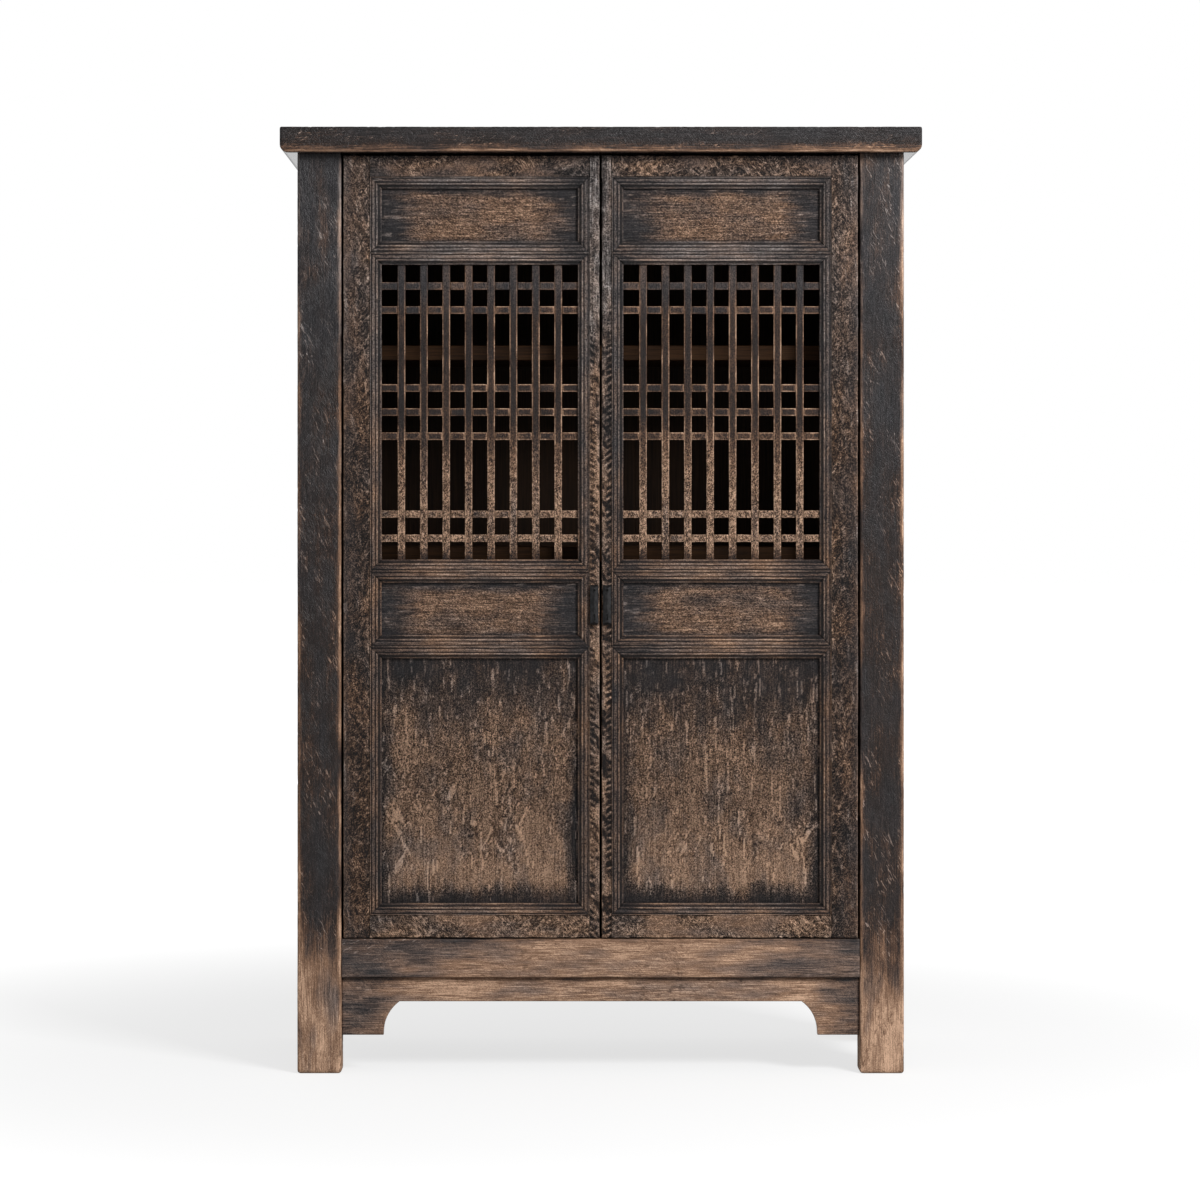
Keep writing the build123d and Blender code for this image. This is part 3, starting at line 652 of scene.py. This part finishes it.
def dress_meeting_stile(seed, hand, p, n, arris):
    """Ridged and grey at its head, and beaded with notches by the moulding lower down."""
    z = p[..., 2]
    inward = inward_share(p, rebate_right, meeting_high.x)
    low = ease(*stile_notched, z + 0.06 * noise(p, (0.03, 0.05), seed + 6))
    along = z / (13 * mm) + 0.9 * layered(p, 0.05, seed) + 0.8 * inward
    bead = ease(0.35, 0.95, np.abs(np.sin(pi * along))) * ease(0.85, 0.25, inward)
    bead *= ease(-0.6, 0.0, noise(p, (0.03, 0.022), seed + 1))
    chip = strokes(p, (7, 14), seed + 3, 0.7, 0.15, 0.45) * (0.4 + 0.6 * inward)
    notch = np.maximum(bead, chip) * low * (0.25 + 0.75 * np.clip(-n[..., 1], 0, 1))
    ridges = scoops(p, (4, 50), seed + 2, 0.03)
    depth = 1.5 * notch + 0.9 * ridges * (1 - 0.6 * low) + 0.4 * outer(arris)
    patches = layered(p, (0.04, 0.06), seed + 4)
    wear = 0.88 + 0.22 * patches + 0.2 * outer(arris) - 0.26 * ridges * (1 - 0.6 * low)
    return depth, wear - (0.6 + 0.08 * hand) * notch, 0.1 + 0.7 * low + 0.3 * patches, 0.8


def dress_door_rail(seed, base, p, n, arris):
    """A door rail: patches of crossed gouge marks on rubbed wood."""
    gouged = ease(-0.45, 0.15, noise(p, (0.06, 0.03), seed + 9))
    beds = crossed_scoops(p, (6, 17), seed, 0.85)
    depth = (0.2 + 0.7 * gouged) * beds + 0.3 * grain_relief(p, "x", seed)
    depth += blunted(p, arris, 0.6, seed)
    patches = layered(p, (0.05, 0.02), seed + 4)
    middle = ease(0.25, 0.12, np.abs(np.abs(p[..., 0]) + door_middle))
    wear = base + 0.05 + 0.18 * patches + 0.1 * middle + 0.34 * (1 - beds) * gouged
    warmth = base + 0.3 * middle + 0.3 * patches
    return depth, wear + 0.12 * outer(arris), warmth, 0.5 + 0.5 * gouged


def panel_place(p, limits):
    """Where each point lies on a door panel, 0 to 1: from the hinge side inward, and from foot to head."""
    return inward_share(p, opening_left, opening_right), (p[..., 2] - limits[0]) / (limits[1] - limits[0])


def dress_low_board(limits, seed, p, n, arris):
    """A short panel, its grain across: charcoal ends, a rubbed middle and strokes between them."""
    u, v = panel_place(p, limits)
    side = u + 0.07 * layered(p, (0.05, 0.012), seed) + 0.03 * noise(p, (0.03, 3 * mm), seed + 1)
    window = ease(0.02, 0.24, side) * ease(0.99, 0.76, side)
    window *= ease(1.04, 0.8, v + 0.1 * layered(p, (0.05, 0.02), seed + 6))
    window *= ease(-0.06, 0.08, v)
    raised = strokes(turned(p, pi / 2), (3, 20), seed + 3, 0.08, 0.42, 0.7) * (1 - 0.7 * window)
    raised *= (n[..., 1] < 0.5)
    depth = 0.9 * (1 - raised) - 0.35 * grain_relief(p, "x", seed)
    wear = 0.2 + 0.56 * window + 0.42 * raised * (1 - window)
    return depth, wear, 0.05 + 0.85 * window, 0.4 + 0.5 * window


def dress_tall_board(limits, seed, p, n, arris):
    """The lower panel, its grain upright: a dark head and rim, fine crackle, tan towards its foot, and
    pale scratches and strokes ringed with painted shade.
    """
    u, v = panel_place(p, limits)
    ragged = layered(p, (12 * mm, 0.05, 0.06), seed + 1)
    lean = 0.14 * ease(0.0, 1.0, p[..., 0] / 0.5) * (1 - u)
    head = v + 0.17 * layered(p, (0.07, 0.1), seed) + lean + 0.03 * ragged
    side = u + 0.03 * ragged + 0.05 * layered(p, (0.06, 0.12), seed + 9)
    rim = ease(-0.04, 0.09, side) * ease(1.04, 0.91, side)
    rim *= ease(-0.01, 0.1, v + 0.03 * ragged + 0.02 * layered(p, (0.05, 0.03), seed + 2))
    window = rim * ease(1.08, 0.58, head)
    raised = 0.6 * strokes(p, (2.8, 50, 14), seed + 3, 0.04, 0.46, 0.62) * ease(0.55, 0.72, v)
    zone = ease(-0.1, 0.3, noise(p, (0.08, 0.11), seed + 8))
    zone = zone * ease(0.75, 0.55, v) * ease(0.08, 0.2, v)
    scratches, scratch_shade_rims = (zone * np.maximum(strokes(p, (4.5, 50, 26), seed + 4, 0.5, start, start + 0.1),
                                         strokes(p, (4.5, 50, 22), seed + 5, -0.45, start, start + 0.1))
                       for start in (0.5, 0.34))
    long, long_stroke_shade_rims = (strokes(p, (3.8, 50, 60), seed + 7, 0.06, start, start + 0.1) for start in (0.6, 0.46))
    facing = n[..., 1] < 0.5
    marks = np.maximum(np.maximum(raised, scratches), long) * facing
    depth = 1.2 * (1 - marks) - 0.35 * grain_relief(p, "z", seed)
    low = ease(0.5, 0.12, v + 0.14 * layered(p, (0.06, 0.08), seed + 6))
    wear = 0.25 + 0.65 * window + 0.16 * low * window + marks * (0.46 - 0.06 * window)
    # painted shade: a band round each scratch and long stroke is painted darker
    wear -= facing * (0.42 * scratch_shade_rims * (1 - scratches) + 0.26 * long_stroke_shade_rims * (1 - long))
    chips = 0.5 + 0.5 * ease(0.05, 0.4, window) * (1 - 0.8 * low * ease(0.6, 1.0, window))
    return depth, wear, 0.25 + 0.7 * window, chips


def dress_lath(seed, p, n, arris):
    """A lattice bar: grey at the window's head, then dark with tan arrises, and bare near the sill; its
    downward arrises get half the rubbing, as painted shade.
    """
    share = (p[..., 2] - lattice[0]) / (lattice[1] - lattice[0])
    ragged = share + 0.08 * layered(p, (0.08, 0.03), seed)
    bare = ease(0.55, 0.2, ragged) * ease(-0.03, 0.06, share)
    pits = scoops(p, (4, 5), seed + 3, 0.3)
    depth = 0.6 * outer(arris) * uneven(p, 0.03, seed + 1) + 0.5 * uneven(p, 0.02, seed + 2)
    depth += 0.4 * pits * bare
    facing = np.clip(-n[..., 1] + 0.4, 0.1, 1)
    # painted shade: arrises and faces that look down are rubbed only half as much
    rub_fade_and_underside_shade = ease(-0.01, 0.05, share) * ease(1.06, 0.76, share) * (1 - 0.5 * (n[..., 2] < -0.3))
    rubbed = outer(arris) * (0.55 + 0.45 * layered(p, 0.03, seed + 5))
    wear = 0.26 * ease(0.72, 1.0, share) + 0.04
    wear += (1.05 * bare + 1.9 * rubbed * rub_fade_and_underside_shade * (1 - 0.4 * bare) - 0.45 * pits * bare) * facing
    return depth, wear, 0.25 + 0.7 * ease(0.95, 0.75, share) + rubbed, 0.4 + 0.6 * bare


def dress_moulding(seed, grain, p, n, crest):
    """A moulding: dark in its grooves, where it is stained and darkened further as painted shade, and
    rubbed pale on its crests, which stand in for its arrises.
    """
    along = layered(p, along_grain(grain, 5 * mm, 60 * mm), seed)
    depth = 0.25 * (0.5 + 0.5 * along) + 0.25 * uneven(p, 0.02, seed + 1)
    middle = ease(0.2, 0.08, np.abs(np.abs(p[..., 0]) + door_middle + 0.03 * along))
    rubbed = 0.42 * (0.3 + 0.9 * middle) if grain == "x" else 0.32 * np.where(p[..., 0] < 0, 1.2, 0.95)
    wear = 0.02 + rubbed + 0.52 * crest * (0.7 + 0.6 * along)
    # painted shade: the relief is taken from the crests, so that the materials darken the grooves between them
    relief = 0.05 + 0.95 * ease(0, 0.35, crest)
    warmth = 0.1 + 0.45 * ease(*moulding_brown, p[..., 2]) + 0.3 * rubbed + 0.3 * along
    return depth, wear, warmth, 0.5, relief


def bare_top(p, n):
    """The plank top: charcoal, browner low down, with a rubbed line along its rolled edge."""
    height = (p[..., 2] - top_low.z) / (top_high.z - top_low.z)
    height += 0.07 * layered(p, (0.1, 0.06, 0.03), 11)
    line = np.exp(-(((height - 0.07) / 0.035) ** 2))
    facing = np.clip(-n[..., 1] * 1.6, 0, 1)
    wear = facing * (0.58 * ease(0.5, 0.15, height) + 0.6 * line) - 0.17
    wear += np.clip(n[..., 2], 0, 1) * (0.12 + 0.3 * layered(p, (0.45, 0.07, 0.07), 12))
    return wear, 0.45 + 0.6 * ease(0.65, 0.25, height)


def bare_front_rail(p, n):
    """The rail under the doors: charcoal at its left end and bare in the middle."""
    height = (p[..., 2] - rail_low.z) / (rail_high.z - rail_low.z)
    ragged = p[..., 0] + 0.09 * layered(p, (0.09, 0.05, 0.009), 21) - 0.1 * (height - 0.5)
    middle = ease(-0.42, -0.16, ragged) * ease(0.54, 0.2, ragged)
    rim = ease(0.8, 0.98, height + 0.05 * noise(p, 0.05, 25))
    return 0.4 + 0.48 * middle - 0.22 * rim, 0.4 + 0.6 * middle


def bare_apron(p, n):
    """The apron: bare between its spandrels, streaked on them, and dark under the rail, partly dark stain
    and partly painted shade from the rail.
    """
    ragged = np.abs(p[..., 0] - 20 * mm) + 0.05 * layered(p, (0.06, 0.05, 0.008), 22)
    middle = ease(0.48, 0.37, ragged)
    # partly painted shade: a dark band just under the rail, as well as dark stain there
    rim = ease(12 * mm, 2 * mm, rail_low.z - p[..., 2] + 3 * mm * noise(p, 0.03, 26))
    return 0.48 + 0.42 * middle - 0.25 * rim, 0.6 + 0.4 * middle


def bare_side(p, n):
    """The side frames: dark, and worn towards the floor."""
    low = ease(*side_foot, p[..., 2] + 0.05 * layered(p, (0.02, 0.1), 23))
    return 0.12 + 0.5 * low + 0.2 * layered(p, (0.1, 0.3), 24), 0.4 + 0.3 * low


# ---- carcass
seeds = iter(range(100, 10000, 37))
plain_cuts = 0.5  # the noise from which a plank is cut


def make_level(node, grain, bar, bare, cuts=plain_cuts):
    """A plain member of the carcass that lies along the x or the y axis."""
    dress = partial(dress_plank, next(seeds), bare, grain, cuts)
    make_piece(node, bar, dress, plank_wood if grain == "x" else cross_wood)


def make_top():
    """The plank top: its underside rolls up to the front, and in a wider curve to both ends."""
    section = rectangle((top_low.y, top_high.y), (top_low.z, top_high.z), (front_roll,) + (top_edge,) * 3,
                        (9, 6, 9, 2.2), reach=5 * mm, arc_steps=6)
    places, inset = stations((top_low.x, top_high.x), 3.5, top_edge)
    rings, normals, arris = sweep(section, "x", places, inset)
    from_end = np.minimum(places - top_low.x, top_high.x - places)[:, None]
    lift = top_roll - np.sqrt(np.clip(top_roll**2 - np.clip(top_roll - from_end, 0, None) ** 2, 0, None))
    rings[..., 2] = np.maximum(rings[..., 2], top_low.z + lift)
    make_level("top_board", "x", (rings, normals, arris), bare_top, cuts=0.4)


def make_posts():
    for side in hands:
        for place, coarse in (("front", 1), ("rear", 2)):
            low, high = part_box(f"left_{place}_post")
            steps = (3.2 * coarse, 5 * coarse, 7, 5 * coarse)
            limits = ((low.x, low.y, 0), (high.x, high.y, top_low.z))
            bar = straight("z", *limits, post_edge, steps, 4 * coarse, foot_edge, crisp_edge, rings=4)
            make_piece(f"{side}_{place}_post", bar, partial(dress_post, next(seeds)), post_wood)


def apron_bar(limits, thickness, foot, axis):
    """An apron, as deep as its spandrels at the ends and shallow between them."""
    top, shallow, deep = rail_low.z, apron_height, rail_low.z - foot
    rise = deep - shallow - spandrel_nose
    run = spandrel_radius - sqrt(spandrel_radius**2 - rise**2)
    low, high = limits
    turn = np.linspace(0, 1, 12) * atan2(rise, spandrel_radius - run)
    curve = spandrel_foot + spandrel_radius * (1 - np.cos(turn))
    drop = deep - spandrel_nose - spandrel_radius * np.sin(turn)
    plain = np.linspace(0, spandrel_foot - 0.2 * mm, 24)
    half_places = np.r_[plain, curve]
    half_depth = np.r_[np.full(len(plain), deep), drop]
    centre = np.linspace(low + half_places[-1], high - half_places[-1], 200)[1:-1]
    places = np.r_[low + half_places, centre, (high - half_places)[::-1]]
    depth = np.r_[half_depth, np.full(len(centre), shallow), half_depth[::-1]]
    height = (top - shallow, top)
    sides, steps = ((thickness, height), (6, 4, 6, 2)) if axis == "x" else ((height, thickness), (2, 6, 4, 6))
    section = rectangle(*sides, apron_edge, steps)
    rings, normals, arris = sweep(section, axis, places, np.zeros(len(places)))
    rings[..., 2] = top - (top - rings[..., 2]) * (depth / shallow)[:, None]
    arris[[0, 1, -2, -1]] = 0
    return rings, normals, arris


def make_front_base():
    inner = post_high.x
    limits = ((inner, rail_low.y, rail_low.z), (-inner, rail_high.y, rail_high.z))
    bar = straight("x", *limits, rail_edge, (8, 10, 8, 2.8), 3.5)
    make_level("front_bottom_rail", "x", bar, bare_front_rail)
    low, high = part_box("front_apron")
    make_level("front_apron", "x", apron_bar((inner, -inner), (low.y, high.y), low.z, "x"), bare_apron)


def make_sides():
    for side in hands:
        for rail in ("side_top_rail", "side_bottom_rail"):
            low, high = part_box(f"left_{rail}")
            limits = ((low.x, post_high.y, low.z), (high.x, rear_low.y, high.z))
            bar = straight("y", *limits, rail_edge, (5, 8, 8, 8), 5)
            make_level(f"{side}_{rail}", "y", bar, bare_side)
        bar = straight("z", *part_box("left_side_panel"), board_edge, (8, 8, 8, 7), 8)
        make_piece(f"{side}_side_panel", bar, partial(dress_post, next(seeds)), post_wood)
        low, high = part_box("left_side_apron")
        bar = apron_bar((post_high.y, rear_low.y), (low.x, high.x), low.z, "y")
        make_level(f"{side}_side_apron", "y", bar, bare_side)


def make_back():
    inner = rear_high.x
    for rail in ("back_top_rail", "back_bottom_rail"):
        low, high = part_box(rail)
        limits = ((inner, low.y, low.z), (-inner, high.y, high.z))
        bar = straight("x", *limits, rail_edge, (8, 6, 8, 8), 7)
        make_level(rail, "x", bar, bare_side)


def paint_cad_nodes():
    """What lies inside and behind keeps its CAD form and takes a plain wood, and the pulls iron."""
    plain = {"back_boards": back_wood, "front_head_rail": hidden_wood, "left_door_pull": iron,
             "right_door_pull": iron}
    shelves = ("lower_shelf", "middle_shelf", "upper_shelf", "bottom_board", "shelf_bearers")
    for node, material in (plain | dict.fromkeys(shelves, shelf_wood)).items():
        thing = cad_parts[node]
        thing.data.materials.clear()
        thing.data.materials.append(material)
        bevel = thing.modifiers.new("worn_edges", "BEVEL")
        bevel.width = crisp_edge
        bevel.segments = 2
        bevel.limit_method = "ANGLE"


# ---- doors
def make_stiles(side):
    """The stiles are rebated for the mouldings, and the hinge stile grows a pin at each end."""
    hinge = outline(((stile_low.x, front), (rebate_left, front), (rebate_left, rebate_back),
                     (opening_left, rebate_back), (opening_left, door_back), (stile_low.x, door_back)),
                    [door_edge] + [crisp_edge] * 4 + [door_edge], (2.4, 5, 8, 8, 9, 6))
    meeting = outline(((opening_right, rebate_back), (rebate_right, rebate_back), (rebate_right, front),
                       (meeting_high.x, front), (meeting_high.x, door_back), (opening_right, door_back)),
                      [crisp_edge] * 3 + [door_edge] * 2 + [crisp_edge], (8, 5, 2.2, 6, 9, 8))
    places = stations((door_bottom, door_top), 2.4, crisp_edge)
    piece = Piece(f"{side}_door_hinge_stile")
    piece.add(sweep(hinge, "z", *places), partial(dress_hinge_stile, next(seeds)), stile_wood)
    for limits in ((stile_low.z, door_bottom), (door_top, stile_high.z)):
        across, deep = ((c - pin_radius, c + pin_radius) for c in pivot)
        round_pin = rectangle(across, deep, 0.99 * pin_radius, (6,) * 4, arc_steps=5)
        pin = sweep(round_pin, "z", *stations(limits, 4, crisp_edge))
        piece.add(pin, partial(dress_plank, next(seeds), bare_side, "z", plain_cuts), stile_wood)
    piece.make()
    dress = partial(dress_meeting_stile, next(seeds), hands[side])
    make_piece(f"{side}_door_meeting_stile", sweep(meeting, "z", *places), dress, rope_wood)


def make_rails(side):
    """The rails lie between the stiles; the top and bottom ones also have a face flush with the stiles."""
    flush = {"top_rail": (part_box("left_door_top_panel_moulding")[1].z, door_top),
             "bottom_rail": (door_bottom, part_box("left_door_lower_panel_moulding")[0].z)}
    for name in ("top_rail", "lattice_head_rail", "lattice_sill_rail", "waist_rail", "bottom_rail"):
        low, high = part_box(f"left_door_{name}")
        piece = Piece(f"{side}_door_{name}")
        dress = partial(dress_door_rail, next(seeds), 0.62 if name == "bottom_rail" else 0.38)
        limits = ((opening_left, rebate_back, low.z), (opening_right, door_back, high.z))
        bar = straight("x", *limits, crisp_edge, (8,) * 4, 7, crisp_edge)
        piece.add(bar, dress, rail_wood)
        if name in flush:
            low_z, high_z = flush[name]
            limits = ((rebate_left, front, low_z), (rebate_right, rebate_back, high_z))
            piece.add(straight("x", *limits, flush_edge, (4, 8, 4, 2.4), 2.6, 0.6 * mm), dress, rail_wood)
        piece.make()


def make_panels(side):
    for name in ("top_panel", "waist_panel", "lower_panel"):
        tall = name == "lower_panel"
        dress = partial(dress_tall_board if tall else dress_low_board, openings[name], next(seeds))
        bar = straight("z", *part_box(f"left_door_{name}"), crisp_edge, (2.6, 8, 12, 8), 2.6, crisp_edge)
        make_piece(f"{side}_door_{name}", bar, dress, panel_wood if tall else across_wood)


def bulge(start, end, foot, crown, drop, crest, count):
    """A rounded member of a moulding between two grooves, as rows of inward, depth and crest."""
    share = np.linspace(0, 1, count)
    height = np.sqrt(np.clip(1 - (2 * share - 1) ** 2, 0, None))
    depth = foot + share * drop - height * (foot - crown)
    return np.stack((start + share * (end - start), depth, crest * height**3), 1)


def moulding_section():
    """How far in and back the moulding's points lie, its normals and its crests.

    From the outer edge inward: a fillet, a quirk, a broad bead, a reed and a slope.
    """
    rows = np.concatenate((
        np.array(((0, 0.1, 0.5), (0.9, 0, 0.9), (1.7, 0.2, 0.6), (2.3, 1.5, 0.0))) * (mm, mm, 1),
        bulge(2.8 * mm, 11.0 * mm, 1.6 * mm, 0.2 * mm, 0.1 * mm, 0.55, 9),
        bulge(11.4 * mm, 16.2 * mm, 1.8 * mm, 0.4 * mm, 0.7 * mm, 0.9, 6),
        np.array(((19.0, 4.0, 0.05), (21.9, 5.7, 0.55), (22.5, 6.2, 0.5))) * (mm, mm, 1),
        ((moulding_width, moulding_depth, 0), (moulding_width / 2, moulding_depth, 0), (0, moulding_depth, 0)),
    ))
    return *rows[:, :2].T, section_normals(rows[:, :2]), rows[:, 2]


def make_mouldings(side):
    """Four mitred strips round each opening."""
    a, depth, normals, crest = moulding_section()
    for name in openings:
        low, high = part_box(f"left_door_{name}_moulding")
        piece = Piece(f"{side}_door_{name}_moulding")
        strips = (((high.x, low.z), (-1, 0)), ((low.x, high.z), (1, 0)),
                  ((low.x, low.z), (0, 1)), ((high.x, high.z), (0, -1)))
        for corner, run in strips:
            inward = (run[1], -run[0])
            level = run[0] != 0
            length = high.x - low.x if level else high.z - low.z
            share = np.linspace(0, 1, max(2, round(length / (5 * mm))) + 1)[:, None]
            t = a + mitre_gap + share * (length - 2 * a - 2 * mitre_gap)
            x, z = (corner[i] + t * run[i] + a * inward[i] for i in (0, 1))
            rings = np.stack((x, np.broadcast_to(front + depth, t.shape), z), -1)
            outward = np.stack((normals[:, 0] * inward[0], normals[:, 1], normals[:, 0] * inward[1]), -1)
            bar = (rings, np.broadcast_to(outward, rings.shape), np.broadcast_to(crest, t.shape))
            dress = partial(dress_moulding, next(seeds), "x" if level else "z")
            piece.add(bar, dress, across_wood if level else panel_wood)
        piece.make()


low_bar, high_bar, middle_bar = lattice[0] + crossbar_inset, lattice[1] - crossbar_inset, sum(lattice) / 2
upright_centres = [door_middle + (i - (upright_count - 1) / 2) * upright_pitch for i in range(upright_count)]
crossbar_centres = [low_bar, low_bar + crossbar_pitch, middle_bar - crossbar_pitch, middle_bar,
                    middle_bar + crossbar_pitch, high_bar - crossbar_pitch, high_bar]


def lapped_places(limits, centres):
    """Places along a lattice bar, close together on both sides of a lap's ends, and which lie in a lap."""
    places, lapped = [], []
    half = lath_width / 2 + lap_gap
    stops = [limits[0]] + [c + s * half for c in centres for s in (-1, 1)] + [limits[1]]
    for i, (start, stop) in enumerate(zip(stops[:-1], stops[1:])):
        run = np.linspace(start + 0.03 * mm, stop - 0.03 * mm, max(2, round((stop - start) / lath_step)) + 1)
        places.append(run)
        lapped.append(np.full(len(run), i % 2 == 1))
    return np.concatenate(places), np.concatenate(lapped)


def make_laths(side, name, axis, limits, centres, crossings):
    """The uprights, whole in front, or the crossbars, whole behind, halved into one another."""
    y = (upright_low.y, upright_high.y)
    centre_y = (y[0] + y[1]) / 2
    standing = axis == "z"
    crossing_edges = np.array([c + s * lath_width / 2 for c in crossings for s in (-1, 1)])
    piece = Piece(f"{side}_door_lattice_{name}")
    for centre in centres:
        width = (centre - lath_width / 2, centre + lath_width / 2)
        sides, steps = ((width, y), (2.4, 4, 6, 4)) if standing else ((y, width), (4, 6, 4, 2.4))
        section = rectangle(*sides, lath_edge, steps, reach=2 * mm)
        places, lapped = lapped_places(limits, crossings)
        rings, normals, arris = sweep(section, axis, places, np.zeros(len(places)))
        facing = rings[..., 1] < centre_y
        let_in = lapped[:, None] & (facing != standing)
        rings[..., 1] = np.where(let_in, centre_y, rings[..., 1])
        if not standing:
            nearest = np.abs(places[:, None] - crossing_edges).min(1)[:, None]
            arris = np.maximum(arris, 0.7 * facing * np.exp(-((nearest / (2 * mm)) ** 2)))
        piece.add((rings, normals, arris), partial(dress_lath, next(seeds)), lath_wood)
    piece.make()


make_top()
make_posts()
make_front_base()
make_sides()
make_back()
paint_cad_nodes()
for side in hands:
    make_stiles(side)
    make_rails(side)
    make_panels(side)
    make_mouldings(side)
    make_laths(side, "uprights", "z", (upright_low.z, upright_high.z), upright_centres, crossbar_centres)
    make_laths(side, "crossbars", "x", (crossbar_low.x, crossbar_high.x), crossbar_centres, upright_centres)


# ---- floor, light and camera
floor_reach = 40
floor_grey = 0.273
floor_lift = 0.715
far_lift = 0.35
room_light = 0.45


def make_floor():
    """A pale floor that the camera and reflections see as white, and that keeps the soft shadow."""
    mesh = bpy.data.meshes.new("floor")
    corners = [(x * floor_reach, y * floor_reach, 0) for x, y in ((-1, -1), (1, -1), (1, 1), (-1, 1))]
    mesh.from_pydata(corners, [], [(0, 1, 2, 3)])
    floor = new_object("floor", mesh)
    g = Graph("floor_white")
    distance = g.node("ShaderNodeVectorMath", g.place, operation="LENGTH").outputs["Value"]
    far = g.ease(distance, 0.9, 3.0, 0.0, far_lift)
    path = g.node("ShaderNodeLightPath").outputs
    seen = g.math("MAXIMUM", path["Is Camera Ray"], path["Is Glossy Ray"])
    g.shade(
        Base_Color=(floor_grey, floor_grey, floor_grey, 1),
        Roughness=1.0,
        Specular_IOR_Level=0.0,
        Emission_Color=(1, 1, 1, 1),
        Emission_Strength=g.times(seen, g.total(far, floor_lift)),
    )
    mesh.materials.append(g.material)


def make_world():
    """A soft even room, which the camera sees as white."""
    world = bpy.data.worlds.new("studio")
    world.use_nodes = True
    scene.world = world
    tree = world.node_tree
    background = tree.nodes["Background"]
    background.inputs["Color"].default_value = (1, 1, 1, 1)
    path = tree.nodes.new("ShaderNodeLightPath")
    strength = tree.nodes.new("ShaderNodeMapRange")
    strength.inputs["To Min"].default_value = room_light
    strength.inputs["To Max"].default_value = 1.0
    tree.links.new(path.outputs["Is Camera Ray"], strength.inputs["Value"])
    tree.links.new(strength.outputs["Result"], background.inputs["Strength"])


def make_lamp():
    """A soft square lamp, high in front on the right, which faces the cabinet's middle."""
    light = bpy.data.lights.new("key", "AREA")
    light.shape = "SQUARE"
    light.size = 1.5
    light.energy = 216
    lamp = new_object("key", light)
    place = np.array((2.5, -3.5, 3.3))
    lamp.location = place
    x, y, z = (0, 0, 0.9) - place
    lamp.rotation_euler = (atan2(hypot(x, y), -z), 0, atan2(-x, y))


def make_camera():
    """A long lens straight at the front, a little left of the middle, at about 60 % of the height."""
    data = bpy.data.cameras.new("camera")
    data.sensor_width = 36
    data.lens = 105.42
    data.shift_x = 0.0425
    data.shift_y = -0.08238
    camera = new_object("camera", data)
    camera.location = (-0.1, -7.023, 1.108)
    camera.rotation_euler = (pi / 2, 0, 0)
    scene.camera = camera
    scene.view_settings.view_transform = "Standard"


make_floor()
make_world()
make_lamp()
make_camera()
